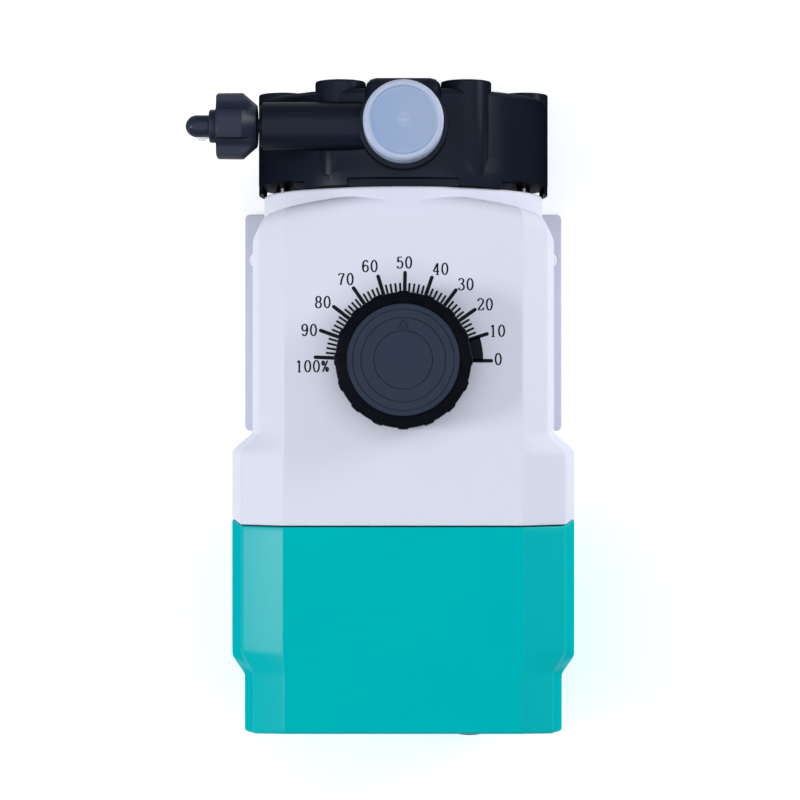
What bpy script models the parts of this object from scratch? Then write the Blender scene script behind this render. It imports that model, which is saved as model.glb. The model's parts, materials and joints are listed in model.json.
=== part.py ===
# A motor-driven diaphragm dosing pump, built as it comes apart on a bench.
# Metres, +Z up. The origin is the centre of the base plate's underside, and the dosing head faces -Y.

import math

import bmesh
import bpy
from mathutils import Matrix, Vector

MM = 0.001
GAP = 0.3 * MM  # left between pieces that touch
WELD = 0.0002 * MM

# Driving dimensions
HEAD_AXIS_Z = 86 * MM
NECK_FACE_Y = -102.2 * MM
HEAD_RADIUS = 62.3 * MM
HEAD_DEPTH = 40.0 * MM
LOBE_RADIUS = 10.5 * MM
LOBE_RISE = 4.1 * MM
BOLT_CIRCLE = 52.0 * MM
HEAD_SCREWS = 6
SCREW_RADIUS = 2.9 * MM
SCREW_HEAD_RADIUS = 4.6 * MM
SCREW_HEAD_HEIGHT = 5.6 * MM
DIAPHRAGM_RADIUS = 43.0 * MM
DIAPHRAGM_THICK = 2.4 * MM
SUPPORT_THICK = 5.0 * MM

TOWER_RADIUS = 18.5 * MM
TOWER_HEIGHT = 67.5 * MM  # from the head's axis
VALVE_BORE = 9.3 * MM
VALVE_DEPTH = 33.0 * MM
BALL_RADIUS = 4.5 * MM
BALL_LIFT = 1.5 * MM
CAP_RADIUS = 16.3 * MM
CAP_HEIGHT = 14.3 * MM

BLOCK_HALF_WIDTH = 15.5 * MM  # of the flat-fronted block at each valve tower
BLOCK_INNER = 24.0 * MM  # from the head's axis
SIDE_SLOT_INNER = 45.5 * MM  # slots behind the head, which show the side screws
SIDE_SLOT_OUTER = 59.8 * MM
SIDE_SLOT_DEPTH = 3.5 * MM

BLEED_RADIUS = 9.8 * MM
BLEED_REACH = 58.5 * MM
BLEED_KNOB_RADIUS = 13.6 * MM
BLEED_KNOB_LENGTH = 16.7 * MM

WALL = 3.0 * MM
BASE_THICK = 5.0 * MM
BASE_HALF_WIDTH = 73.7 * MM
BASE_LENGTH = 202.0 * MM
BASE_WAIST = 60.0 * MM
FRONT_EAR_END = -0.3 * MM
REAR_EAR_START = 18.0 * MM
EAR_CORNER = 3.0 * MM
HOLE_X = 68.4 * MM
HOLE_Y = 80.0 * MM
HOLE_RADIUS = 3.5 * MM

HOUSING_TOP_Z = 146.5 * MM
WIDEST_Z = 80 * MM
REAR_LEAN = 7.7 * MM
HOUSING_FRONT_Y = -99.7 * MM
SEAM_Y = 37.0 * MM
SEAM_WIDTH = 0.6 * MM
REAR_Y = 129.5 * MM
ARCH_RADIUS = 200.0 * MM
NECK_RADIUS = 60.0 * MM

KNOB_Y = -30.8 * MM
KNOB_RADIUS = 28.2 * MM
KNOB_TOP_RADIUS = 22.7 * MM
KNOB_RIBS = 16
KNOB_RIB_WIDTH = 4.1 * MM
KNOB_RIB_DEPTH = 0.5 * MM
KNOB_HEIGHT = 21.5 * MM

STROKE = 5.0 * MM
CAM_Y = 2.0 * MM
CAM_RADIUS = 18.0 * MM
SHAFT_RADIUS = 6.0 * MM
WHEEL_TEETH = 40
TOOTH_MODULE = 1.25 * MM
WHEEL_X = 18.0 * MM
WHEEL_WIDTH = 12.0 * MM
WORM_RADIUS = 7.2 * MM
WORM_LENGTH = 30.0 * MM

MOTOR_RADIUS = 38.0 * MM
MOTOR_FRONT_Y = 44.0 * MM
MOTOR_LENGTH = 58.0 * MM
MOTOR_SHAFT_RADIUS = 4.0 * MM

SMALL_STEPS = 16
ROUND_STEPS = 32
LARGE_STEPS = 36

UP, RIGHT, BACK = Vector((0, 0, 1)), Vector((1, 0, 0)), Vector((0, 1, 0))

for old in list(bpy.data.objects):
    bpy.data.objects.remove(old)
pump = bpy.data.collections.new("dosing_pump")
cutters = bpy.data.collections.new("cutters")
bpy.context.scene.collection.children.link(pump)
bpy.context.scene.collection.children.link(cutters)


# Materials, one for each kind of surface
def material(name, colour, roughness, metallic=0.0):
    made = bpy.data.materials.new(name)
    made.use_nodes = True
    shader = made.node_tree.nodes["Principled BSDF"]
    shader.inputs["Base Color"].default_value = (*colour, 1)
    shader.inputs["Roughness"].default_value = roughness
    shader.inputs["Metallic"].default_value = metallic
    return made


WHITE = material("white_housing", (0.62, 0.64, 0.74), 0.5)
PALE = material("pale_base", (0.55, 0.56, 0.68), 0.5)
TEAL = material("teal_cover", (0.0, 0.4, 0.42), 0.4)
BLACK = material("black_plastic", (0.012, 0.014, 0.022), 0.4)
KNOB_GREY = material("knob_grey", (0.03, 0.045, 0.075), 0.35)
MILKY = material("milky_plastic", (0.5, 0.58, 0.72), 0.3)
PEARL = material("pearl_plastic", (0.75, 0.76, 0.74), 0.35)
RUBBER = material("dark_rubber", (0.02, 0.02, 0.02), 0.8)
PTFE = material("diaphragm_white", (0.8, 0.8, 0.78), 0.4)
STEEL = material("bright_steel", (0.6, 0.6, 0.62), 0.3, 1.0)
ALUMINIUM = material("cast_aluminium", (0.55, 0.56, 0.57), 0.5, 1.0)
BRONZE = material("bronze", (0.55, 0.36, 0.16), 0.35, 1.0)
COPPER = material("copper_winding", (0.6, 0.28, 0.12), 0.4, 1.0)
CERAMIC = material("ceramic_ball", (0.85, 0.84, 0.8), 0.2)


# Ways to make a shape
def placed(name, mesh, look, matrix=None, smooth=True, into=pump):
    part = bpy.data.objects.new(name, mesh)
    part.matrix_world = matrix or Matrix.Identity(4)
    into.objects.link(part)
    if look:
        mesh.materials.append(look)
    if smooth:
        mesh.shade_smooth()
        mesh.set_sharp_from_angle(angle=math.radians(35))
    return part


def recentred(part, origin):
    """Moves a part's origin and leaves its shape where it is."""
    shift = part.matrix_world.inverted() @ Vector(origin)
    part.data.transform(Matrix.Translation(-shift))
    part.matrix_world = part.matrix_world @ Matrix.Translation(shift)
    return part


def frame_at(location, axis):
    """A matrix whose origin is the location and whose Z points along the axis."""
    turn = UP.rotation_difference(Vector(axis)).to_matrix().to_4x4()
    return Matrix.Translation(Vector(location)) @ turn


def turned(name, profile, location, look, axis=UP, steps=ROUND_STEPS, into=pump):
    """A solid of revolution. The profile's (radius, height) points run top to bottom on the outer side."""
    mesh = bpy.data.meshes.new(name)
    points = [(radius, 0, height) for radius, height in profile]
    links = [(i, i + 1) for i in range(len(points) - 1)]
    if profile[0][0] > 0:
        links.append((len(points) - 1, 0))
    mesh.from_pydata(points, links, [])
    part = placed(name, mesh, look, frame_at(location, axis), smooth=False, into=into)
    screw = part.modifiers.new("turn", "SCREW")
    screw.steps = screw.render_steps = steps
    screw.use_merge_vertices = True
    screw.merge_threshold = 0.00001
    screw.use_smooth_shade = False
    return smoothed(part)


def smoothed(part):
    """The object with its modifiers made into its mesh, and its round faces shaded smooth."""
    bpy.context.view_layer.update()
    seen = part.evaluated_get(bpy.context.evaluated_depsgraph_get())
    mesh = bpy.data.meshes.new_from_object(seen)
    tidy = bmesh.new()
    tidy.from_mesh(mesh)
    bmesh.ops.remove_doubles(tidy, verts=tidy.verts, dist=WELD)
    bmesh.ops.recalc_face_normals(tidy, faces=tidy.faces)
    tidy.to_mesh(mesh)
    tidy.free()
    mesh.shade_smooth()
    mesh.set_sharp_from_angle(angle=math.radians(35))
    if part.type == "CURVE":
        made = bpy.data.objects.new(part.name, mesh)
        for home in list(part.users_collection):
            home.objects.link(made)
        made.matrix_world = part.matrix_world
        name = part.name
        bpy.data.objects.remove(part)
        made.name = name
        return made
    part.modifiers.clear()
    part.data = mesh
    return part


def rod(name, radius, length, location, look=None, axis=UP, steps=ROUND_STEPS, into=pump, chamfer=0.0):
    """A cylinder that starts at the location and runs along the axis."""
    profile = [
        (0, length),
        (radius - chamfer, length),
        (radius, length - chamfer),
        (radius, chamfer),
        (radius - chamfer, 0),
        (0, 0),
    ]
    if not chamfer:
        profile = [(0, length), (radius, length), (radius, 0), (0, 0)]
    return turned(name, profile, location, look, axis, steps, into)


def ring(name, outer, inner, length, location, look=None, axis=UP, steps=ROUND_STEPS, into=pump):
    profile = [(outer, length), (outer, 0), (inner, 0), (inner, length)]
    return turned(name, profile, location, look, axis, steps, into)


def block(name, size, centre, look=None, bevel=0.0, into=pump):
    mesh = bpy.data.meshes.new(name)
    shape = bmesh.new()
    bmesh.ops.create_cube(shape, size=1.0, matrix=Matrix.Diagonal((*size, 1)))
    if bevel:
        bmesh.ops.bevel(shape, geom=shape.edges, offset=bevel, segments=2, affect="EDGES", profile=0.5)
    shape.to_mesh(mesh)
    shape.free()
    return placed(name, mesh, look, Matrix.Translation(Vector(centre)), smooth=bool(bevel), into=into)


def plate(name, outlines, thickness, location, look=None, axis=UP, into=pump):
    """A flat outline with its holes, given thickness about the location along the axis."""
    curve = bpy.data.curves.new(name, "CURVE")
    curve.dimensions = "2D"
    curve.fill_mode = "BOTH"
    curve.extrude = thickness / 2
    for outline in outlines:
        spline = curve.splines.new("POLY")
        spline.points.add(len(outline) - 1)
        for point, (across, along) in zip(spline.points, outline):
            point.co = (across, along, 0, 1)
        spline.use_cyclic_u = True
    part = bpy.data.objects.new(name, curve)
    part.matrix_world = frame_at(location, axis)
    into.objects.link(part)
    if look:
        curve.materials.append(look)
    return smoothed(part)


def circle(radius, centre=(0, 0), steps=SMALL_STEPS, start=0.0, span=2 * math.pi, closed=True):
    """Points round an arc. A closed circle leaves out its last point, which is its first."""
    count = steps if closed else steps + 1
    angles = [start + span * i / steps for i in range(count)]
    return [(centre[0] + radius * math.cos(a), centre[1] + radius * math.sin(a)) for a in angles]


def boolean(part, tools, operation):
    for tool in tools:
        change = part.modifiers.new(operation.lower(), "BOOLEAN")
        change.operation = operation
        change.solver = "EXACT"
        change.object = tool
        part = smoothed(part)
        bpy.data.objects.remove(tool)
    return part


def cut(part, *tools):
    return boolean(part, tools, "DIFFERENCE")


def joined(part, *tools):
    return boolean(part, tools, "UNION")


def drill(radius, start, axis, length, steps=SMALL_STEPS):
    """A round cutter."""
    return rod("drill", radius, length, start, None, axis, steps, cutters)


def torus(name, major, minor, location, look, axis=UP, steps=24, sides=8):
    profile = [(major + x, z) for x, z in circle(minor, (0, 0), sides, math.pi / 2, -2 * math.pi)]
    return turned(name, profile, location, look, axis, steps)


# The housing's outline: half widths at four heights, in front of the motor's bulge, in it and behind it
LEVELS = (
    # height, front, bulge, rear
    (BASE_THICK + GAP, 58.0 * MM, 66.0 * MM, 61.0 * MM),
    (36 * MM, 61.5 * MM, 70.5 * MM, 65.0 * MM),
    (WIDEST_Z, 65.4 * MM, 74.5 * MM, 68.8 * MM),
    (136 * MM, 59.6 * MM, 67.3 * MM, 62.2 * MM),
    (HOUSING_TOP_Z, 49.0 * MM, 49.0 * MM, 48.6 * MM),
)
SHOULDER_SHARE = math.tan(math.radians(22.5))
BULGE_FRONT = (-1.5 * MM, 7.4 * MM)
BULGE_REAR = (93.0 * MM, 102.5 * MM)


def eased(value, low, high):
    part = min(1.0, max(0.0, (value - low) / (high - low)))
    return part * part * (3 - 2 * part)


def half_width(level, y):
    height, front, bulge, rear = LEVELS[level]
    ahead = front + (bulge - front) * eased(y, *BULGE_FRONT)
    return ahead + (rear - bulge) * eased(y, *BULGE_REAR)


def arch(x, y):
    """How far the front face falls back beside the middle. It fades out where the bulge begins."""
    fade = 1 - eased(y, HOUSING_FRONT_Y, BULGE_FRONT[0])
    return x * x / (2 * ARCH_RADIUS) * fade


def rear_face(z):
    """The rear face's place at a height: upright up to the widest line, and leaning in above it."""
    return REAR_Y - REAR_LEAN * max(0.0, z - WIDEST_Z) / (HOUSING_TOP_Z - WIDEST_Z)


def shell_surface(name, stations, closed_front, closed_rear, look, inset=0.0):
    """The housing's outer surface between the stations, open where it isn't closed."""
    columns = 6
    top = len(LEVELS) - 1
    last = len(stations) - 1
    mesh = bpy.data.meshes.new(name)
    shape = bmesh.new()
    made = {}

    def corner(column, row, station):
        key = (column, row, station)
        if key in made:
            return made[key]
        y = stations[station]
        x = (2 * column / columns - 1) * (half_width(row, y) - inset)
        z = LEVELS[row][0]
        if row == 0:
            z += inset
        if row == top:
            z -= inset
        if row == top - 1:
            z -= inset * SHOULDER_SHARE
        if closed_rear and station == last:
            y = rear_face(z)
        made[key] = shape.verts.new((x, y + arch(x, y), z))
        return made[key]

    for station in range(last):
        for column in range(columns):
            for row in (0, top):
                face = [corner(column + i, row, station + j) for i, j in ((0, 0), (1, 0), (1, 1), (0, 1))]
                shape.faces.new(face if row == top else face[::-1])
        for row in range(top):
            for column in (0, columns):
                face = [corner(column, row + i, station + j) for i, j in ((0, 0), (1, 0), (1, 1), (0, 1))]
                shape.faces.new(face if column == 0 else face[::-1])
    for station, wanted in ((0, closed_front), (last, closed_rear)):
        if not wanted:
            continue
        for column in range(columns):
            for row in range(top):
                face = [corner(column + i, row + j, station) for i, j in ((0, 0), (1, 0), (1, 1), (0, 1))]
                shape.faces.new(face if station == 0 else face[::-1])
    bmesh.ops.recalc_face_normals(shape, faces=shape.faces)
    shape.to_mesh(mesh)
    shape.free()
    return placed(name, mesh, look)


def walled(part, thickness):
    """The open surface, given thickness inwards."""
    wall = part.modifiers.new("wall", "SOLIDIFY")
    wall.thickness = thickness
    wall.offset = -1
    wall.use_even_offset = True
    return smoothed(part)


HEAD_BACK = NECK_FACE_Y - GAP
HEAD_FRONT = HEAD_BACK - HEAD_DEPTH
VALVE_Y = HEAD_BACK - 24.4 * MM
TOWER_TOP = HEAD_AXIS_Z + TOWER_HEIGHT
TOWER_BOTTOM = HEAD_AXIS_Z - TOWER_HEIGHT
BLEED_Z = TOWER_TOP - BLEED_RADIUS - 0.4 * MM
BOLT_ANGLES = [i * 2 * math.pi / HEAD_SCREWS for i in range(HEAD_SCREWS)]
BOLTS = [(BOLT_CIRCLE * math.cos(angle), BOLT_CIRCLE * math.sin(angle)) for angle in BOLT_ANGLES]
LOBE_FRONT = HEAD_FRONT - LOBE_RISE
SCREW_HEAD_SEAT = LOBE_FRONT + 6.6 * MM
SCREW_LENGTH = 58.0 * MM
NECK_BORE = DIAPHRAGM_RADIUS + GAP
NECK_DEPTH = 24.0 * MM
ROD_RADIUS = 5.0 * MM


def base_plate():
    """A flat plate with two ears on each side, and a hole in each ear."""
    half = []
    ears = ((-BASE_LENGTH / 2, FRONT_EAR_END), (REAR_EAR_START, BASE_LENGTH / 2))
    for start, end in ears:
        half += [
            (BASE_WAIST, start),
            (BASE_HALF_WIDTH - EAR_CORNER, start),
            (BASE_HALF_WIDTH, start + EAR_CORNER),
            (BASE_HALF_WIDTH, end - EAR_CORNER),
            (BASE_HALF_WIDTH - EAR_CORNER, end),
            (BASE_WAIST, end),
        ]
    outline = half + [(-x, y) for x, y in reversed(half)]
    holes = [circle(HOLE_RADIUS, (sx * HOLE_X, sy * HOLE_Y), 14) for sx in (-1, 1) for sy in (-1, 1)]
    plate("base_plate", [outline] + holes, BASE_THICK, (0, 0, BASE_THICK / 2), PALE)


def housing():
    end = SEAM_Y - SEAM_WIDTH / 2
    stations = [HOUSING_FRONT_Y, -60 * MM, -30 * MM, BULGE_FRONT[0], BULGE_FRONT[1], end]
    shell = walled(shell_surface("housing", stations, True, False, WHITE), WALL)
    place = (0, NECK_FACE_Y, HEAD_AXIS_Z)
    neck = rod("neck", NECK_RADIUS, NECK_DEPTH, place, None, BACK, LARGE_STEPS, cutters)
    posts = []
    for side in (-1, 1):
        for low, high, reach in COVER_POSTS:
            size = (reach - 46 * MM, 30 * MM, high - low)
            centre = (side * (46 * MM + size[0] / 2), end - size[1] / 2, (low + high) / 2)
            posts.append(block("post", size, centre, into=cutters))
    shell = joined(shell, neck, *posts)
    tools = [
        drill(NECK_BORE, (0, NECK_FACE_Y - MM, HEAD_AXIS_Z), BACK, NECK_DEPTH + 2 * MM, 32),
        drill(KNOB_HUB_RADIUS + GAP, (0, KNOB_Y, HOUSING_TOP_Z - 8 * MM), UP, 20 * MM, 24),
    ]
    for x, z in BOLTS:
        start = (x, NECK_FACE_Y - MM, HEAD_AXIS_Z + z)
        tools.append(drill(SCREW_RADIUS + 0.5 * MM, start, BACK, NECK_DEPTH + 4 * MM, 8))
    for x, z in COVER_SCREWS:
        tools.append(drill(COVER_SCREW_RADIUS + GAP, (x, 0, z), BACK, end + MM, 12))
    return cut(shell, *tools)


GASKET_REACH = 4 * MM
GASKET_THICK = 1.6 * MM
COVER_POSTS = ((114 * MM, 128 * MM, 66.5 * MM), (15 * MM, 29 * MM, 67.0 * MM))
COVER_SCREW_RADIUS = 2.0 * MM
COVER_SCREWS = [(side * 51.5 * MM, z) for side in (-1, 1) for z in (121 * MM, 22 * MM)]
COVER_SINK = 4.6 * MM  # from the rear face down to a screw's seat
GLAND_X, GLAND_Z = -30 * MM, 30 * MM
GLAND_RADIUS = 8.0 * MM
GLAND_LENGTH = 7.3 * MM


def motor_cover():
    start = SEAM_Y + SEAM_WIDTH / 2
    stations = [start, BULGE_REAR[0], BULGE_REAR[1], REAR_Y]
    cover = walled(shell_surface("motor_cover", stations, False, True, TEAL), WALL)
    bosses = []
    for x, z in COVER_SCREWS:
        bosses.append(rod("boss", 6 * MM, 8 * MM, (x, rear_face(z) - 10 * MM, z), None, BACK, 16, cutters))
    cover = joined(cover, *bosses)
    tools = [drill(GLAND_RADIUS + GAP, (GLAND_X, REAR_Y - 10 * MM, GLAND_Z), BACK, 20 * MM, 24)]
    for x, z in COVER_SCREWS:
        tools.append(drill(COVER_SCREW_RADIUS + GAP, (x, rear_face(z) - 15 * MM, z), BACK, 20 * MM, 12))
        tools.append(drill(COVER_SCREW_RADIUS * 2 + GAP, (x, rear_face(z) - COVER_SINK, z), BACK, 20 * MM))
    return cut(cover, *tools)


def seam_gasket():
    """The frame inside the seam, which both shells close on."""
    stations = [SEAM_Y - GASKET_REACH, SEAM_Y + GASKET_REACH]
    band = shell_surface("seam_gasket", stations, False, False, RUBBER, WALL + 2 * GAP)
    band = walled(band, GASKET_THICK)
    tools = []
    for side in (-1, 1):
        for low, high, reach_out in COVER_POSTS:
            size = (60 * MM, 30 * MM, high - low + 2 * MM)
            x = side * (46 * MM + size[0] / 2 - MM)
            centre = (x, SEAM_Y - SEAM_WIDTH / 2 - size[1] / 2 + GAP, (low + high) / 2)
            tools.append(block("room", size, centre, into=cutters))
    return cut(band, *tools)


def pump_head():
    profile = [
        (0, HEAD_DEPTH + 1.2 * MM),
        (30 * MM, HEAD_DEPTH + 1.2 * MM),
        (32 * MM, HEAD_DEPTH),
        (HEAD_RADIUS - 1.5 * MM, HEAD_DEPTH),
        (HEAD_RADIUS - 0.5 * MM, HEAD_DEPTH - 1.5 * MM),
        (HEAD_RADIUS, MM),
        (HEAD_RADIUS - MM, 0),
        (0, 0),
    ]
    head = turned("pump_head", profile, (0, HEAD_BACK, HEAD_AXIS_Z), BLACK, -BACK, LARGE_STEPS)
    extras = []
    for x, z in BOLTS:
        length = LOBE_RISE + 20 * MM
        start = (x, HEAD_FRONT + 20 * MM, HEAD_AXIS_Z + z)
        extras.append(rod("lobe", LOBE_RADIUS, length, start, None, -BACK, 12, cutters, MM))
    length = 2 * TOWER_HEIGHT
    place = (0, VALVE_Y, TOWER_BOTTOM)
    extras.append(rod("tower", TOWER_RADIUS, length, place, None, UP, 20, cutters, 0.8 * MM))
    place = (0, VALVE_Y, BLEED_Z)
    extras.append(rod("arm", BLEED_RADIUS, BLEED_REACH, place, None, RIGHT, 20, cutters, 0.6 * MM))
    for side in (-1, 1):
        outer = TOWER_HEIGHT - 2.5 * MM
        size = (2 * BLOCK_HALF_WIDTH, VALVE_Y - LOBE_FRONT - GAP, outer - BLOCK_INNER)
        centre = (0, VALVE_Y - size[1] / 2, HEAD_AXIS_Z + side * (outer + BLOCK_INNER) / 2)
        extras.append(block("valve_block", size, centre, into=cutters))
    head = joined(head, *extras)
    dish_depth = DIAPHRAGM_THICK + 2 * GAP + 5 * MM
    dish = [
        (0, MM),
        (NECK_BORE, MM),
        (NECK_BORE, -DIAPHRAGM_THICK - GAP),
        (DIAPHRAGM_RADIUS - 7 * MM, -DIAPHRAGM_THICK - GAP),
        (18 * MM, -dish_depth),
        (0, -dish_depth),
    ]
    tools = [
        turned("dish", dish, (0, HEAD_BACK, HEAD_AXIS_Z), None, BACK, 32, cutters),
        drill(VALVE_BORE, (0, VALVE_Y, TOWER_TOP - VALVE_DEPTH), UP, 50 * MM, 20),
        drill(VALVE_BORE, (0, VALVE_Y, TOWER_BOTTOM + VALVE_DEPTH), -UP, 50 * MM, 20),
    ]
    for side in (-1, 1):
        start = (0, VALVE_Y, HEAD_AXIS_Z + side * 8 * MM)
        tools.append(drill(3 * MM, start, UP * side, 40 * MM, 8))
        start = (0, VALVE_Y - 2.5 * MM, HEAD_AXIS_Z + side * 11 * MM)
        tools.append(drill(2.4 * MM, start, BACK, 24 * MM, 8))
    tools.append(drill(BLEED_BORE, (22 * MM, VALVE_Y, BLEED_Z), RIGHT, 60 * MM, 20))
    tools.append(drill(2 * MM, (4 * MM, VALVE_Y, BLEED_Z - 1.3 * MM), RIGHT, 30 * MM, 12))
    for x, z in BOLTS:
        centre = (x, HEAD_BACK + MM, HEAD_AXIS_Z + z)
        tools.append(drill(SCREW_RADIUS + 0.5 * MM, centre, -BACK, 60 * MM, 8))
        start = (x, SCREW_HEAD_SEAT, HEAD_AXIS_Z + z)
        tools.append(drill(SCREW_HEAD_RADIUS + 1.2 * MM, start, -BACK, 30 * MM, 12))
    for side in (-1, 1):
        size = (SIDE_SLOT_OUTER - SIDE_SLOT_INNER, SIDE_SLOT_DEPTH + MM, 2 * HEAD_RADIUS)
        x = side * (SIDE_SLOT_OUTER + SIDE_SLOT_INNER) / 2
        centre = (x, HEAD_BACK - SIDE_SLOT_DEPTH + size[1] / 2, HEAD_AXIS_Z)
        tools.append(block("side_slot", size, centre, into=cutters))
    # Notches in the rim behind: one wide over the top, and small ones beside it, also below
    rim = 3 * MM
    for side in (-1, 1):
        for x, width, depth in NOTCHES:
            height = math.sqrt(max(HEAD_RADIUS**2 - (abs(x) + width / 2) ** 2, 0))
            size = (width, depth, 24 * MM)
            z = HEAD_AXIS_Z + side * (height - rim + size[2] / 2)
            tools.append(block("notch", size, (x, HEAD_BACK - MM - depth / 2, z), into=cutters))
    return cut(head, *tools)


NOTCHES = (
    (0.0, 46 * MM, 3.2 * MM),
    (43.4 * MM, 4.8 * MM, 2.8 * MM),
    (-43.4 * MM, 4.8 * MM, 2.8 * MM),
)
BLEED_BORE = 5.2 * MM


def head_screws():
    for index, (x, z) in enumerate(BOLTS, start=1):
        under = SCREW_HEAD_SEAT - GAP
        top = SCREW_HEAD_HEIGHT
        socket = 2.4 * MM
        profile = [
            (0, top - 2.6 * MM),
            (socket, top - 2.6 * MM),
            (socket, top),
            (SCREW_HEAD_RADIUS, top),
            (SCREW_HEAD_RADIUS, 0),
            (SCREW_RADIUS, 0),
            (SCREW_RADIUS, -SCREW_LENGTH),
            (0, -SCREW_LENGTH),
        ]
        turned(f"head_screw_{index}", profile, (x, under, HEAD_AXIS_Z + z), STEEL, -BACK, 12)


SUPPORT_FRONT = NECK_FACE_Y
CORE_RADIUS = 14.0 * MM


def diaphragm_and_support():
    """A disc with a moulded wave round its moving middle, and the disc that backs its rim."""
    thick = DIAPHRAGM_THICK
    half = thick / 2
    rim = DIAPHRAGM_RADIUS
    profile = [
        (0, half + 2 * MM),
        (CORE_RADIUS, half + 1.5 * MM),
        (CORE_RADIUS + 4 * MM, half),
        (rim, half),
        (rim, -half),
        (0, -half),
    ]
    middle = HEAD_BACK - GAP / 2 - half + 0.15 * MM
    turned("diaphragm", profile, (0, middle, HEAD_AXIS_Z), PTFE, -BACK, 28)
    profile = [
        (rim, SUPPORT_THICK),
        (rim, 0),
        (CORE_RADIUS - 2 * MM, 0),
        (CORE_RADIUS - 2 * MM, SUPPORT_THICK - MM),
        (rim - 8 * MM, SUPPORT_THICK - MM),
        (rim - 7 * MM, SUPPORT_THICK),
    ]
    turned("support_disc", profile, (0, SUPPORT_FRONT + SUPPORT_THICK, HEAD_AXIS_Z), ALUMINIUM, -BACK, 24)


def valves():
    """The two valve sets: seat, ball, cage, seal, connector and cap. The ball sits on its seat by weight."""
    outer = VALVE_BORE - GAP
    seat_length = 5.5 * MM
    cage_length = 13.0 * MM
    rest = math.sqrt(BALL_RADIUS**2 - (3.2 * MM) ** 2) + GAP
    for name, way in (("discharge", 1), ("suction", -1)):
        mouth = HEAD_AXIS_Z + way * TOWER_HEIGHT
        inner_end = mouth - way * VALVE_DEPTH
        low = inner_end + GAP if way > 0 else inner_end - GAP - cage_length - GAP - seat_length
        ring(f"{name}_valve_seat", outer, 3.2 * MM, seat_length, (0, VALVE_Y, low), PTFE, UP, 20)
        ball_z = low + seat_length + rest
        ball = bpy.data.meshes.new("ball")
        shape = bmesh.new()
        bmesh.ops.create_uvsphere(shape, u_segments=16, v_segments=9, radius=BALL_RADIUS)
        shape.to_mesh(ball)
        shape.free()
        placed(f"{name}_ball", ball, CERAMIC, Matrix.Translation((0, VALVE_Y, ball_z)))
        roof = rest + BALL_RADIUS + BALL_LIFT + GAP
        cage = [
            (outer, cage_length),
            (outer, 0),
            (BALL_RADIUS + 0.8 * MM, 0),
            (BALL_RADIUS + 0.8 * MM, roof),
            (2.6 * MM, roof),
            (2.6 * MM, cage_length),
        ]
        turned(f"{name}_valve_cage", cage, (0, VALVE_Y, low + seat_length + GAP), PTFE, UP, 20)
        inside = VALVE_DEPTH - seat_length - cage_length - 3 * GAP
        connector = [
            (CAP_RADIUS - 3.6 * MM, 12 * MM),
            (CAP_RADIUS - 2.8 * MM, 11.4 * MM),
            (CAP_RADIUS - 2.8 * MM, 2.0 * MM),
            (outer, 2.0 * MM),
            (outer, -inside + GAP),
            (4 * MM, -inside + GAP),
            (4 * MM, 12 * MM),
        ]
        turned(f"{name}_connector", connector, (0, VALVE_Y, mouth), BLACK, UP * way, 20)
        ring(
            f"{name}_seal", CAP_RADIUS - 3 * MM, outer + GAP, 2 * MM - 2 * GAP,
            (0, VALVE_Y, mouth + way * GAP), RUBBER, UP * way, 24,
        )
        skirt = 0.9 * MM
        roof = 12 * MM + 0.5 * MM
        height = skirt + CAP_HEIGHT
        cap = [
            (0, height - 0.9 * MM),
            (CAP_RADIUS - 3.4 * MM, height - 0.9 * MM),
            (CAP_RADIUS - 3.0 * MM, height),
            (CAP_RADIUS - 0.7 * MM, height),
            (CAP_RADIUS, height - 0.7 * MM),
            (CAP_RADIUS, skirt),
            (CAP_RADIUS - 2.2 * MM, skirt),
            (CAP_RADIUS - 2.2 * MM, roof),
            (0, roof),
        ]
        turned(f"{name}_cap", cap, (0, VALVE_Y, mouth), MILKY, UP * way, 24)


BLEED_FACE = BLEED_REACH + 1.2 * MM
SPINDLE_RADIUS = 3.0 * MM


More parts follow.
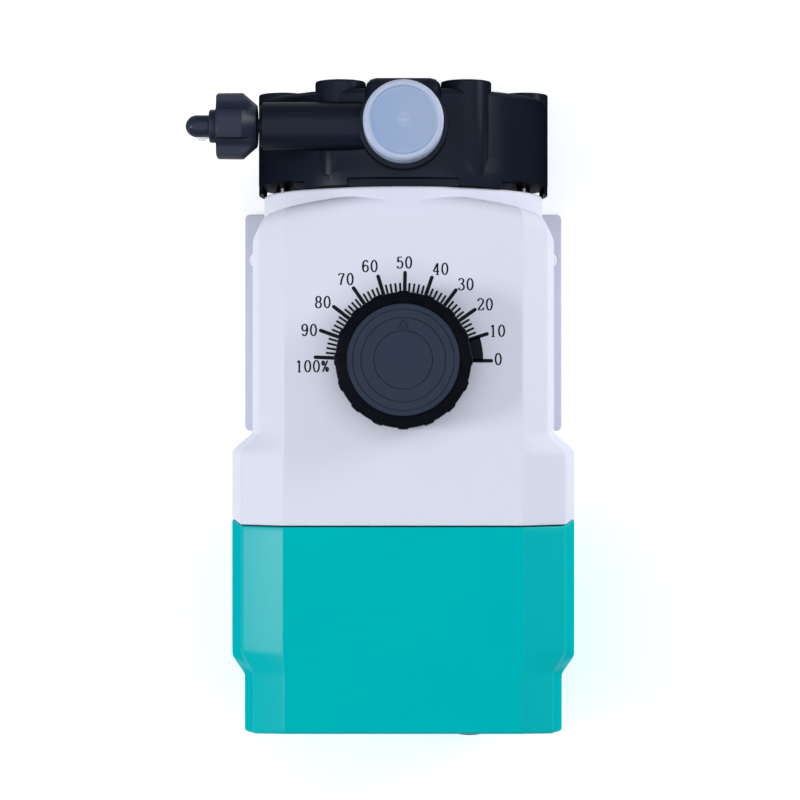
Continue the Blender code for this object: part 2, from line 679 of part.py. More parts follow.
def bleed_valve():
    """The four-lobed knob turns on the spindle, and the small elbow lets the air out."""
    place = (BLEED_FACE, VALVE_Y, BLEED_Z)
    length = BLEED_KNOB_LENGTH
    radius = BLEED_KNOB_RADIUS
    profile = [
        (0, length),
        (radius - 1.2 * MM, length),
        (radius, length - 1.2 * MM),
        (radius, 5.7 * MM),
        (8.5 * MM, 0),
        (0, 0),
    ]
    knob = turned("bleed_knob", profile, place, BLACK, RIGHT, 28)
    tools = [drill(SPINDLE_RADIUS + GAP, (BLEED_FACE - MM, VALVE_Y, BLEED_Z), RIGHT, length + 2 * MM, 20)]
    for quarter in range(4):
        angle = math.pi / 4 + quarter * math.pi / 2
        reach = radius + 2.2 * MM
        start = (BLEED_FACE - MM, VALVE_Y + reach * math.cos(angle), BLEED_Z + reach * math.sin(angle))
        tools.append(drill(5.2 * MM, start, RIGHT, length + 2 * MM, 14))
    cut(knob, *tools)
    # The spindle's cone closes the small bore, and its collar holds the knob
    start = 27 * MM
    far = BLEED_FACE + length + GAP
    profile = [
        (0, far + 2.8 * MM),
        (6.2 * MM, far + 2.8 * MM),
        (6.8 * MM, far + 2.2 * MM),
        (6.8 * MM, far),
        (SPINDLE_RADIUS, far),
        (SPINDLE_RADIUS, BLEED_REACH - 2 * MM),
        (BLEED_BORE - GAP, BLEED_REACH - 3 * MM),
        (BLEED_BORE - GAP, 42 * MM),
        (BLEED_BORE - 2 * MM, 42 * MM),
        (BLEED_BORE - 2 * MM, 38.5 * MM),
        (BLEED_BORE - GAP, 38.5 * MM),
        (BLEED_BORE - GAP, start + 4 * MM),
        (0, start),
    ]
    turned("bleed_spindle", profile, (0, VALVE_Y, BLEED_Z), BLACK, RIGHT, 16)
    minor = 0.75 * MM
    place = (40.2 * MM, VALVE_Y, BLEED_Z)
    torus("bleed_o_ring", BLEED_BORE - GAP - minor, minor, place, RUBBER, RIGHT, 16, 6)
    # A dome with a barb pointing down
    nib_x = far + 2.8 * MM + GAP
    profile = [(0, 9.4 * MM)]
    profile += [(4.5 * MM * math.sin(a), 5 * MM + 4.4 * MM * math.cos(a)) for a in (0.5, 1.0)]
    profile += [(4.5 * MM, 4 * MM), (4.5 * MM, 0), (0, 0)]
    nozzle = turned("bleed_nozzle", profile, (nib_x, VALVE_Y, BLEED_Z), BLACK, RIGHT, 20)
    barb_x = nib_x + 5 * MM
    barb = [
        (0, 16 * MM),
        (1.6 * MM, 16 * MM),
        (2.3 * MM, 13 * MM),
        (1.7 * MM, 13 * MM),
        (1.7 * MM, 0),
        (0, 0),
    ]
    stem = turned("stem", barb, (barb_x, VALVE_Y, BLEED_Z), None, -UP, 16, cutters)
    joined(nozzle, stem)
    hose = [
        (0, 32 * MM),
        (3.1 * MM, 32 * MM),
        (3.1 * MM, 6 * MM),
        (2.6 * MM, 6 * MM),
        (2.6 * MM, 31 * MM),
        (0, 31 * MM),
    ]
    tube = turned("bleed_hose_cap", hose, (barb_x, VALVE_Y, BLEED_Z), MILKY, -UP, 20)
    recentred(tube, (nib_x, VALVE_Y, BLEED_Z))


KNOB_HUB_RADIUS = 9.0 * MM
KNOB_BASE_Z = HOUSING_TOP_Z + 0.6 * MM


def stroke_knob():
    """A fluted skirt round a raised disc. It turns half a turn, with its pointer on the dial."""
    height = KNOB_HEIGHT
    profile = [
        (0, height),
        (KNOB_TOP_RADIUS - 0.6 * MM, height),
        (KNOB_TOP_RADIUS, height - 0.6 * MM),
        (KNOB_TOP_RADIUS + 0.6 * MM, height - 2.2 * MM),
        (KNOB_RADIUS - KNOB_RIB_DEPTH - 0.8 * MM, height - 5 * MM),
        (KNOB_RADIUS - KNOB_RIB_DEPTH, 0.6 * MM),
        (KNOB_RADIUS - KNOB_RIB_DEPTH - 0.6 * MM, 0),
        (KNOB_HUB_RADIUS, 0),
        (KNOB_HUB_RADIUS, -6 * MM),
        (0, -6 * MM),
    ]
    place = (0, KNOB_Y, KNOB_BASE_Z)
    knob = turned("stroke_knob", profile, place, BLACK, UP, LARGE_STEPS)
    ribs = []
    for index in range(KNOB_RIBS):
        angle = 2 * math.pi * (index + 0.5) / KNOB_RIBS + math.pi / KNOB_RIBS
        size = (KNOB_RADIUS - KNOB_TOP_RADIUS + 0.5 * MM, KNOB_RIB_WIDTH, height - 5 * MM)
        reach = KNOB_RADIUS - size[0] / 2
        z = KNOB_BASE_Z + 0.8 * MM + size[2] / 2
        centre = Vector((reach * math.cos(angle), KNOB_Y + reach * math.sin(angle), z))
        rib = block("rib", size, centre, into=cutters)
        rib.matrix_world = Matrix.Translation(centre) @ Matrix.Rotation(angle, 4, "Z")
        ribs.append(rib)
    knob = joined(knob, *ribs)
    # The insert lies in a shallow pocket of the top, and the spindle's square end in the hub
    place = (0, KNOB_Y, KNOB_TOP_Z - INSERT_SUNK)
    pocket = rod("pocket", KNOB_INSERT_RADIUS + GAP, 10 * MM, place, None, UP, 48, cutters)
    socket = drill(SPINDLE_END_RADIUS + GAP, (0, KNOB_Y, KNOB_BASE_Z - 10 * MM), UP, 20 * MM, 16)
    cut(knob, pocket, socket)
    top = INSERT_SUNK - GAP
    profile = [(0, top), (KNOB_INSERT_RADIUS, top), (KNOB_INSERT_RADIUS, 0), (0, 0)]
    turned("stroke_knob_insert", profile, (0, KNOB_Y, KNOB_TOP_Z - INSERT_SUNK + GAP), KNOB_GREY, UP, 40)


KNOB_TOP_Z = KNOB_BASE_Z + KNOB_HEIGHT
KNOB_INSERT_RADIUS = 21.6 * MM
INSERT_SUNK = 1.6 * MM
SPINDLE_END_RADIUS = 4.0 * MM
PIN_OFFSET = 2.0 * MM
PIN_RADIUS = 2.0 * MM
LID_TOP_Z = 124 * MM
LID_THICK = 4.0 * MM


def stroke_spindle():
    """Held in the lid's bush. The pin below, off its axis, is the stop that sets the stroke."""
    bottom = LID_TOP_Z - LID_THICK - 6 * MM
    top = KNOB_BASE_Z + 8 * MM
    profile = [
        (0, top),
        (SPINDLE_END_RADIUS, top),
        (SPINDLE_END_RADIUS, LID_TOP_Z + 6 * MM),
        (7 * MM, LID_TOP_Z + 6 * MM),
        (7 * MM, LID_TOP_Z + 3 * MM),
        (SPINDLE_END_RADIUS, LID_TOP_Z + 3 * MM),
        (SPINDLE_END_RADIUS, bottom),
        (0, bottom),
    ]
    spindle = turned("stroke_spindle", profile, (0, KNOB_Y, 0), STEEL, UP, 20)
    length = bottom - SLOT_FLOOR_Z - 4 * MM
    place = (0, KNOB_Y + PIN_OFFSET, bottom - length + MM)
    pin = rod("pin", PIN_RADIUS, length, place, None, UP, 14, cutters)
    joined(spindle, pin)
    ring(
        "stroke_spindle_bush", 7 * MM, SPINDLE_END_RADIUS + GAP, LID_THICK + 4 * MM,
        (0, KNOB_Y, LID_TOP_Z - LID_THICK - 2 * MM), BRONZE, UP, 20,
    )


SLIDE_HALF = 9.0 * MM
SLIDE_BACK = CAM_Y - CAM_RADIUS - STROKE / 2 - STROKE / 2 - 2 * GAP
SLIDE_FRONT = KNOB_Y - 16 * MM
SLOT_FLOOR_Z = HEAD_AXIS_Z - 4 * MM
FRAME_FRONT_Y = -66 * MM
FRAME_WALL = 6.0 * MM
ROD_FRONT = HEAD_BACK + 0.6 * MM


def push_rod():
    length = SLIDE_BACK - SLIDE_FRONT
    size = (2 * SLIDE_HALF, length, 2 * SLIDE_HALF)
    middle = (0, (SLIDE_BACK + SLIDE_FRONT) / 2, HEAD_AXIS_Z)
    part = block("push_rod", size, middle, STEEL, 0.8 * MM)
    reach = SLIDE_FRONT - ROD_FRONT
    stem = rod("stem", ROD_RADIUS, reach + MM, (0, ROD_FRONT, HEAD_AXIS_Z), None, BACK, 20, cutters, 0.6 * MM)
    part = joined(part, stem)
    travel = PIN_OFFSET + PIN_RADIUS + STROKE / 2 + 2 * GAP
    slot = (2 * (PIN_OFFSET + PIN_RADIUS) + MM, 2 * travel, 2 * SLIDE_HALF)
    cut(part, block("slot", slot, (0, KNOB_Y, SLOT_FLOOR_Z + SLIDE_HALF), into=cutters))
    bush_start = FRAME_FRONT_Y - 3 * MM
    profile = [
        (ROD_RADIUS + 3 * MM, FRAME_WALL + 5 * MM),
        (ROD_RADIUS + 3 * MM, 3 * MM - GAP),
        (ROD_RADIUS + 5 * MM, 3 * MM - GAP),
        (ROD_RADIUS + 5 * MM, 0),
        (ROD_RADIUS + GAP, 0),
        (ROD_RADIUS + GAP, FRAME_WALL + 5 * MM),
    ]
    turned("push_rod_bush", profile, (0, bush_start, HEAD_AXIS_Z), BRONZE, BACK, SMALL_STEPS)
    # The spring sits round the rod between the support disc and a ring pressed on the bush's flange
    spring_start = SUPPORT_FRONT + SUPPORT_THICK + MM
    spring_length = bush_start - spring_start - MM
    turns = 5
    steps = 8
    coil = bpy.data.curves.new("return_spring", "CURVE")
    coil.dimensions = "3D"
    coil.bevel_depth = 0.9 * MM
    coil.bevel_resolution = 1
    coil.use_fill_caps = True
    line = coil.splines.new("POLY")
    line.points.add(turns * steps)
    for index, point in enumerate(line.points):
        angle = 2 * math.pi * index / steps
        along = spring_start + MM + (spring_length - 2 * MM) * index / (turns * steps)
        point.co = (8.2 * MM * math.cos(angle), along, HEAD_AXIS_Z + 8.2 * MM * math.sin(angle), 1)
    spring = bpy.data.objects.new("return_spring", coil)
    pump.objects.link(spring)
    coil.materials.append(STEEL)
    smoothed(spring)


FRAME_LEFT, FRAME_RIGHT = -32 * MM, 42 * MM
FRAME_BACK_Y = 40 * MM
FRAME_FLOOR_Z = 38 * MM
MOTOR_Z = HEAD_AXIS_Z - TOOTH_MODULE * WHEEL_TEETH / 2 - TOOTH_MODULE - WORM_RADIUS - GAP
BEARING_RADIUS = 11.0 * MM


def gear_case():
    """The cast frame that holds the cam shaft, the push rod's bush and the motor's flange."""
    low = BASE_THICK + WALL + 3 * GAP
    high = LID_TOP_Z - LID_THICK - GAP
    size = (FRAME_RIGHT - FRAME_LEFT, FRAME_BACK_Y - FRAME_FRONT_Y, high - low)
    centre = ((FRAME_LEFT + FRAME_RIGHT) / 2, (FRAME_FRONT_Y + FRAME_BACK_Y) / 2, (low + high) / 2)
    case = block("gear_case", size, centre, ALUMINIUM, 1.2 * MM)
    inner = (size[0] - 2 * FRAME_WALL, size[1] - 2 * FRAME_WALL)
    above = high - FRAME_FLOOR_Z + 10 * MM
    below = FRAME_FLOOR_Z - 5 * MM - low + 10 * MM
    relief = (2 * size[0], 2 * (GASKET_REACH + MM), 2 * (GASKET_THICK + 3 * GAP + MM))
    room_z = FRAME_FLOOR_Z + above / 2
    under_z = FRAME_FLOOR_Z - 5 * MM - below / 2
    tools = [
        block("room", (*inner, above), (centre[0], centre[1], room_z), into=cutters),
        block("under", (*inner, below), (centre[0], centre[1], under_z), into=cutters),
        block("relief", relief, (centre[0], SEAM_Y, low), into=cutters),
        drill(BEARING_RADIUS + GAP, (FRAME_LEFT - 5 * MM, CAM_Y, HEAD_AXIS_Z), RIGHT, 90 * MM, 28),
        drill(ROD_RADIUS + 3 * MM + GAP, (0, FRAME_FRONT_Y - 5 * MM, HEAD_AXIS_Z), BACK, 20 * MM, 24),
        drill(WORM_RADIUS + 3 * MM, (WHEEL_X, FRAME_BACK_Y - 15 * MM, MOTOR_Z), BACK, 25 * MM, 24),
    ]
    cut(case, *tools)
    size = (size[0], size[1], LID_THICK)
    lid = block("gear_case_lid", size, (centre[0], centre[1], LID_TOP_Z - LID_THICK / 2), ALUMINIUM, 0.8 * MM)
    cut(lid, drill(7 * MM + GAP, (0, KNOB_Y, LID_TOP_Z - 10 * MM), UP, 20 * MM, 24))


def cam_and_wheel():
    """One shaft carries the eccentric that pushes the rod and the wheel that the worm turns."""
    start = FRAME_LEFT + 0.5 * MM
    length = FRAME_RIGHT - FRAME_LEFT - MM
    rod("cam_shaft", SHAFT_RADIUS, length, (start, CAM_Y, HEAD_AXIS_Z), STEEL, RIGHT, 24, pump, 0.5 * MM)
    for name, x in (("left", FRAME_LEFT + 0.5 * MM), ("right", FRAME_RIGHT - FRAME_WALL + 0.5 * MM)):
        ring(
            f"cam_bearing_{name}", BEARING_RADIUS, SHAFT_RADIUS + GAP, FRAME_WALL - MM,
            (x, CAM_Y, HEAD_AXIS_Z), STEEL, RIGHT, SMALL_STEPS,
        )
    place = (-8 * MM, CAM_Y, HEAD_AXIS_Z + STROKE / 2)
    cam = rod("eccentric_cam", CAM_RADIUS, 16 * MM, place, STEEL, RIGHT, 36)
    cam = cut(cam, drill(SHAFT_RADIUS + GAP, (-15 * MM, CAM_Y, HEAD_AXIS_Z), RIGHT, 30 * MM, 24))
    recentred(cam, (-8 * MM, CAM_Y, HEAD_AXIS_Z))
    pitch = TOOTH_MODULE * WHEEL_TEETH / 2
    outline = []
    for tooth in range(WHEEL_TEETH):
        for share, reach in ((-0.36, -1.2), (-0.17, 1.0), (0.17, 1.0), (0.36, -1.2)):
            angle = 2 * math.pi * (tooth + share) / WHEEL_TEETH
            outline.append((
                (pitch + reach * TOOTH_MODULE) * math.cos(angle),
                (pitch + reach * TOOTH_MODULE) * math.sin(angle),
            ))
    bore = circle(SHAFT_RADIUS + GAP, (0, 0), 24)
    middle = (WHEEL_X, CAM_Y, HEAD_AXIS_Z)
    plate("worm_wheel", [outline, bore], WHEEL_WIDTH, middle, BRONZE, RIGHT)


MOTOR_BACK = MOTOR_FRONT_Y + MOTOR_LENGTH
SHAFT_FRONT = CAM_Y - WORM_LENGTH / 2 - 6 * MM
FAN_LENGTH = 7.0 * MM


def motor():
    """A small induction motor: flanged casing, stator, rotor on its shaft, two bearings and a fan behind."""
    x, z = WHEEL_X, MOTOR_Z
    wall = 2.5 * MM
    casing = [
        (MOTOR_RADIUS, MOTOR_LENGTH),
        (MOTOR_RADIUS, 0),
        (BEARING_RADIUS + GAP, 0),
        (BEARING_RADIUS + GAP, 5 * MM),
        (MOTOR_RADIUS - wall, 5 * MM),
        (MOTOR_RADIUS - wall, MOTOR_LENGTH),
    ]
    turned("motor_casing", casing, (x, MOTOR_FRONT_Y, z), ALUMINIUM, BACK, 28)
    end_plate = [
        (MOTOR_RADIUS, 5 * MM),
        (MOTOR_RADIUS, 0),
        (BEARING_RADIUS + GAP, 0),
        (BEARING_RADIUS + GAP, 5 * MM),
    ]
    turned("motor_end_plate", end_plate, (x, MOTOR_BACK + GAP, z), ALUMINIUM, BACK, 28)
    for name, y in (("front", MOTOR_FRONT_Y), ("rear", MOTOR_BACK + GAP)):
        inner = MOTOR_SHAFT_RADIUS + GAP
        ring(f"motor_bearing_{name}", BEARING_RADIUS, inner, 5 * MM, (x, y, z), STEEL, BACK, SMALL_STEPS)
    stator = (MOTOR_RADIUS - wall - GAP, 19.5 * MM)
    ring("motor_stator", *stator, 34 * MM, (x, MOTOR_FRONT_Y + 14 * MM, z), COPPER, BACK, 24)
    length = MOTOR_BACK + 5 * MM + 2 * GAP + FAN_LENGTH + MM - SHAFT_FRONT
    place = (x, SHAFT_FRONT, z)
    rotor = rod("motor_rotor", MOTOR_SHAFT_RADIUS, length, place, STEEL, BACK, 20, pump, 0.5 * MM)
    core_start = (x, MOTOR_FRONT_Y + 13 * MM, z)
    joined(rotor, rod("core", 18.8 * MM, 36 * MM, core_start, None, BACK, 28, cutters))
    # The worm is a sleeve on the shaft with one helical thread
    core = WORM_RADIUS - 2 * MM
    place = (x, CAM_Y - WORM_LENGTH / 2, z)
    worm = ring("worm", core, MOTOR_SHAFT_RADIUS + GAP, WORM_LENGTH, place, STEEL, BACK, 20)
    helix = bpy.data.curves.new("thread", "CURVE")
    helix.dimensions = "3D"
    helix.bevel_depth = 1.0 * MM
    helix.bevel_resolution = 0
    helix.use_fill_caps = True
    line = helix.splines.new("POLY")
    steps = 8
    turns = 3
    line.points.add(turns * steps)
    lead = math.pi * TOOTH_MODULE
    reach = WORM_RADIUS - 1.0 * MM
    for index, point in enumerate(line.points):
        angle = 2 * math.pi * index / steps
        along = CAM_Y + lead * (index / steps - turns / 2)
        point.co = (x + reach * math.cos(angle), along, z + reach * math.sin(angle), 1)
    thread = bpy.data.objects.new("thread", helix)
    cutters.objects.link(thread)
    joined(worm, smoothed(thread))
    place = (x, MOTOR_BACK + 5 * MM + 2 * GAP + MM, z)
    hub = ring("cooling_fan", 8 * MM, MOTOR_SHAFT_RADIUS + GAP, FAN_LENGTH, place, BLACK, BACK, 24)
    blades = []
    for index in range(7):
        angle = 2 * math.pi * index / 7
        size = (26 * MM, FAN_LENGTH - MM, 1.6 * MM)
        reach = 7 * MM + size[0] / 2
        across = Vector((reach * math.cos(angle), FAN_LENGTH / 2, reach * math.sin(angle)))
        centre = Vector(place) + across
        blade = block("blade", size, centre, into=cutters)
        blade.matrix_world = Matrix.Translation(centre) @ Matrix.Rotation(-angle, 4, "Y")
        blades.append(blade)
    joined(hub, *blades)


def electrics():
    """The gland in the rear wall, and what its cable would lead to."""
    place = (GLAND_X, REAR_Y + GAP, GLAND_Z)
    profile = [
        (GLAND_RADIUS - 1.5 * MM, GLAND_LENGTH),
        (GLAND_RADIUS, GLAND_LENGTH - MM),
        (GLAND_RADIUS + 2.4 * MM, GLAND_LENGTH - 2 * MM),
        (GLAND_RADIUS + 2.4 * MM, 0),
        (GLAND_RADIUS, 0),
        (GLAND_RADIUS, -9 * MM),
        (3.5 * MM, -9 * MM),
        (3.5 * MM, GLAND_LENGTH),
    ]
    turned("cable_gland", profile, place, BLACK, BACK, 18)
    nut_start = REAR_Y - WALL - GAP - 4 * MM
    nut = plate(
        "gland_nut", [circle(12 * MM, (0, 0), 6), circle(GLAND_RADIUS + GAP, (0, 0), 28)], 4 * MM,
        (GLAND_X, nut_start + 2 * MM, GLAND_Z), BLACK, BACK,
    )
    block("terminal_block", (16 * MM, 34 * MM, 14 * MM), (-36 * MM, 66 * MM, 18 * MM), PEARL, 0.8 * MM)
    rod("start_capacitor", 12 * MM, 46 * MM, (-44 * MM, 46 * MM, 66 * MM), BLACK, BACK, 28, pump, MM)


def cover_screws():
    for index, (x, z) in enumerate(COVER_SCREWS, start=1):
        radius = COVER_SCREW_RADIUS
        seat = rear_face(z) - COVER_SINK
        length = seat - 12 * MM
        profile = [
            (0, 1.6 * MM),
            (radius * 0.9, 1.6 * MM),
            (radius * 0.9, 3 * MM),
            (radius * 2 - 0.5 * MM, 3 * MM),
            (radius * 2 - 0.1 * MM, 2.4 * MM),
            (radius * 2 - 0.1 * MM, 0),
            (radius, 0),
            (radius, -length),
            (0, -length),
        ]
        turned(f"cover_screw_{index}", profile, (x, seat + GAP, z), STEEL, BACK, 10)


base_plate()
housing()
motor_cover()
seam_gasket()
pump_head()
head_screws()
diaphragm_and_support()
valves()
bleed_valve()
stroke_knob()
stroke_spindle()
push_rod()
gear_case()
cam_and_wheel()
motor()
electrics()
cover_screws()
bpy.context.view_layer.update()
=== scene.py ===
import json
import math

import bmesh
import bpy
from mathutils import Matrix, Vector


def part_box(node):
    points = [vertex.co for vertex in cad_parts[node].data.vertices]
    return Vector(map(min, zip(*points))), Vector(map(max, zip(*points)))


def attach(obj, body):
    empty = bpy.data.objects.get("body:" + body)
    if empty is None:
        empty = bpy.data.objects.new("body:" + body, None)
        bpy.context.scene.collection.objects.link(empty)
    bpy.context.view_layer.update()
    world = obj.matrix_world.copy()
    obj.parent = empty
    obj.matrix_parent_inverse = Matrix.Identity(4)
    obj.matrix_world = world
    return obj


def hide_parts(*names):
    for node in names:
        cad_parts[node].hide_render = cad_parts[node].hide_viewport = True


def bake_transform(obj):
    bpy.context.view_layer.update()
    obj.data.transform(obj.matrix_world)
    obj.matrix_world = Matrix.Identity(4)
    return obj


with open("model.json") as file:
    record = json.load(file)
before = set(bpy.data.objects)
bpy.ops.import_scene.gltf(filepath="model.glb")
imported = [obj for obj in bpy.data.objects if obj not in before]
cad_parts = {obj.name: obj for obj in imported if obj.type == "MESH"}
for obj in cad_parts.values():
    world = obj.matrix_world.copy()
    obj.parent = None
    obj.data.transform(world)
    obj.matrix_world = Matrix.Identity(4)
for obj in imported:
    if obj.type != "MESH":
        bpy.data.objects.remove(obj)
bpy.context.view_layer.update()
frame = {"nodes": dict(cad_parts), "record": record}
mm = 0.001
right, back, up = Vector((1, 0, 0)), Vector((0, 1, 0)), Vector((0, 0, 1))
ahead, down = -back, -up
nodes = frame["nodes"]
print("frame loaded:", len(nodes), "nodes")


def lowHigh(node):
    low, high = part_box(node)
    return Vector(low), Vector(high)


def middle(node):
    low, high = lowHigh(node)
    return (low + high) / 2


# Shader maths
class Value:
    # one socket of a material, which arithmetic turns into Math nodes
    def __init__(self, tree, socket):
        self.tree = tree
        self.socket = socket

    def mathWith(self, operation, *others):
        node = self.tree.nodes.new("ShaderNodeMath")
        node.operation = operation
        for index, value in enumerate(others):
            if isinstance(value, Value):
                self.tree.links.new(value.socket, node.inputs[index])
            else:
                node.inputs[index].default_value = value
        return Value(self.tree, node.outputs[0])

    def __add__(self, other):
        return self.mathWith("ADD", self, other)

    def __radd__(self, other):
        return self.mathWith("ADD", other, self)

    def __sub__(self, other):
        return self.mathWith("SUBTRACT", self, other)

    def __rsub__(self, other):
        return self.mathWith("SUBTRACT", other, self)

    def __mul__(self, other):
        return self.mathWith("MULTIPLY", self, other)

    def __rmul__(self, other):
        return self.mathWith("MULTIPLY", other, self)

    def __truediv__(self, other):
        return self.mathWith("DIVIDE", self, other)

    def __pow__(self, other):
        return self.mathWith("POWER", self, other)

    def size(self):
        return self.mathWith("ABSOLUTE", self)

    def clipped(self):
        node = self.mathWith("ADD", self, 0.0)
        node.socket.node.use_clamp = True
        return node


class Finish:
    # a material under construction: its tree, its shader and the place on the surface
    def __init__(self, name):
        self.material = bpy.data.materials.new(name)
        self.material.use_nodes = True
        self.tree = self.material.node_tree
        self.shader = self.tree.nodes["Principled BSDF"]
        self.place = self.add("ShaderNodeTexCoord", {}, {}).outputs["Object"]

    def add(self, kind, settings, inputs):
        node = self.tree.nodes.new(kind)
        for key, value in settings.items():
            setattr(node, key, value)
        for key, value in inputs.items():
            if isinstance(value, Value):
                value = value.socket
            if isinstance(value, bpy.types.NodeSocket):
                self.tree.links.new(value, node.inputs[key])
            else:
                node.inputs[key].default_value = value
        return node

    def value(self, socket):
        return Value(self.tree, socket)

    def axes(self):
        parts = self.add("ShaderNodeSeparateXYZ", {}, {0: self.place})
        return [self.value(parts.outputs[i]) for i in range(3)]

    def facing(self):
        normal = self.add("ShaderNodeTexCoord", {}, {}).outputs["Normal"]
        parts = self.add("ShaderNodeSeparateXYZ", {}, {0: normal})
        return [self.value(parts.outputs[i]) for i in range(3)]

    def noise(self, scale, detail=3.0, roughness=0.5, place=None):
        inputs = {"Vector": place or self.place, "Scale": scale, "Detail": detail, "Roughness": roughness}
        return self.value(self.add("ShaderNodeTexNoise", {}, inputs).outputs["Fac"])

    def stretched(self, amounts):
        inputs = {0: self.place, 1: amounts}
        return self.add("ShaderNodeVectorMath", {"operation": "MULTIPLY"}, inputs).outputs[0]

    def between(self, value, low, high):
        settings = {"interpolation_type": "SMOOTHSTEP"}
        node = self.add("ShaderNodeMapRange", settings, {"Value": value, "From Min": low, "From Max": high})
        return self.value(node.outputs["Result"])

    def blend(self, share, first, second):
        node = self.tree.nodes.new("ShaderNodeMix")
        node.data_type = "RGBA"
        for key, value in ((0, share), (6, first), (7, second)):
            if isinstance(value, Value):
                self.tree.links.new(value.socket, node.inputs[key])
            elif isinstance(value, bpy.types.NodeSocket):
                self.tree.links.new(value, node.inputs[key])
            else:
                node.inputs[key].default_value = value if key == 0 else (*value[:3], 1)
        return node.outputs[2]

    def bump(self, height, strength, distance):
        inputs = {"Height": height, "Strength": strength, "Distance": distance}
        node = self.add("ShaderNodeBump", {}, inputs)
        self.tree.links.new(node.outputs[0], self.shader.inputs["Normal"])

    def feed(self, name, value):
        socket = self.shader.inputs[name]
        if isinstance(value, Value):
            value = value.socket
        if isinstance(value, bpy.types.NodeSocket):
            self.tree.links.new(value, socket)
        elif isinstance(value, (tuple, list)):
            socket.default_value = (*value[:3], 1)
        else:
            socket.default_value = value


# Plastics: a spark-eroded grain, a faint cloudiness and, where asked for, a painted sheen on the upward faces
def plastic(name, colour, deep, rough, grain, specular=0.5, coat=0.0, bareTop=False, bareSides=(0.75, 0.95),
            dust=0.0, paintedTopSheen=None):
    grainScale = 2600.0
    made = Finish(name)
    clouds = made.noise(22.0, 3.0, 0.6)
    speck = made.noise(900.0, 2.0, 0.6)
    shade = made.blend((clouds * 0.7 + speck * 0.3).clipped(), deep, colour)
    if dust:
        lint = made.between(made.noise(1500.0, 4.0, 0.75), 0.68, 0.8) * dust
        shade = made.blend(lint, shade, (0.3, 0.32, 0.36))
    # painted sheen: faces that look upwards are blended towards a lighter bluish colour, a painted reflection
    # of the light from above
    if paintedTopSheen:
        shade = made.blend((made.facing()[2].clipped() * (clouds * 0.5 + 0.75)).clipped(), shade, paintedTopSheen)
    made.feed("Base Color", shade)
    fine = made.noise(grainScale, 2.0, 0.5)
    made.feed("Roughness", (clouds * 0.10 + fine * 0.08 + (rough - 0.09)).clipped())
    made.feed("Specular IOR Level", specular)
    if coat:        # a gloss that the upright sides, and where wanted the level top, don't have
        x, y, z = made.facing()
        gloss = (1.0 - made.between(x.size(), *bareSides)) * coat
        if bareTop:
            gloss = gloss * (1.0 - made.between(z, 0.93, 0.985))
        made.feed("Coat Weight", gloss)
        made.feed("Coat Roughness", 0.3)
    made.bump(fine + made.noise(grainScale * 0.35, 2.0, 0.5) * 0.7, grain, 0.00012)
    return made.material


def brushedMetal(name, colour, rough, along=(1.0, 1.0, 14.0)):
    made = Finish(name)
    lines = made.noise(420.0, 3.0, 0.6, made.stretched(along))
    spots = made.noise(60.0, 3.0, 0.6)
    dark = tuple(c * 0.72 for c in colour)
    made.feed("Base Color", made.blend((lines * 0.5 + spots * 0.5).clipped(), dark, colour))
    made.feed("Roughness", (lines * 0.18 + spots * 0.12 + (rough - 0.15)).clipped())
    made.feed("Metallic", 1.0)
    made.bump(lines, 0.12, 0.00008)
    return made.material


def castMetal(name, colour):
    made = Finish(name)
    skin = made.noise(520.0, 5.0, 0.65)
    spots = made.noise(48.0, 3.0, 0.6)
    dark = tuple(c * 0.62 for c in colour)
    made.feed("Base Color", made.blend((skin * 0.6 + spots * 0.4).clipped(), dark, colour))
    made.feed("Roughness", (skin * 0.22 + 0.42).clipped())
    made.feed("Metallic", 0.9)
    made.bump(skin, 0.35, 0.0002)
    return made.material


def windingCopper(name):
    made = Finish(name)
    x, y, z = made.axes()
    strands = made.value(made.add("ShaderNodeTexWave", {"bands_direction": "Y"}, {
        "Vector": made.place, "Scale": 260.0, "Distortion": 1.2, "Detail": 2.0,
    }).outputs["Fac"])
    made.feed("Base Color", made.blend(strands, (0.16, 0.05, 0.02), (0.62, 0.27, 0.12)))
    made.feed("Roughness", (strands * 0.2 + 0.28).clipped())
    made.feed("Metallic", 0.7)
    made.bump(strands, 0.4, 0.0003)
    return made.material


def milkyPlastic(name, centre, radius):
    # thin moulded polyethylene: clear in the middle, whiter where the wall is thick
    made = Finish(name)
    clouds = made.noise(140.0, 3.0, 0.6)
    x, y, z = made.axes()
    across = x - centre.x
    along = y - centre.y
    reach = (across * across + along * along) ** 0.5
    rim = made.between(reach, radius * 0.74, radius * 0.90)
    gate = 1.0 - made.between(reach, radius * 0.04, radius * 0.24)
    # painted shade: the body colour grows darker and bluer from the -X side to the +X side of the cap
    side = made.between(across, -radius, radius)
    body = made.blend(side * 0.55 + 0.1, (0.36, 0.44, 0.63), (0.235, 0.38, 0.63))
    body = made.blend(gate * 0.55, body, (0.46, 0.52, 0.68))
    made.feed("Base Color", made.blend(rim, body, (0.47, 0.55, 0.73)))
    made.feed("Roughness", (clouds * 0.12 + 0.26).clipped())
    made.feed("Subsurface Weight", 0.35)
    made.feed("Subsurface Scale", 0.004)
    made.feed("Coat Weight", 0.15)
    made.bump(made.noise(500.0, 3.0, 0.5), 0.10, 0.0002)
    return made.material


def clearPlastic(name):
    made = Finish(name)
    clouds = made.noise(200.0, 2.0, 0.5)
    made.feed("Base Color", made.blend(clouds, (0.75, 0.82, 0.92), (0.95, 0.97, 1.0)))
    made.feed("Roughness", (clouds * 0.1 + 0.12).clipped())
    made.feed("Transmission Weight", 0.82)
    made.feed("IOR", 1.45)
    made.bump(clouds, 0.08, 0.0002)
    return made.material


def rubberFinish(name):
    made = Finish(name)
    fine = made.noise(1400.0, 4.0, 0.6)
    bloom = made.noise(70.0, 3.0, 0.6)
    made.feed("Base Color", made.blend(bloom, (0.008, 0.008, 0.009), (0.035, 0.035, 0.037)))
    made.feed("Roughness", (fine * 0.2 + 0.62).clipped())
    made.bump(fine, 0.25, 0.00015)
    return made.material


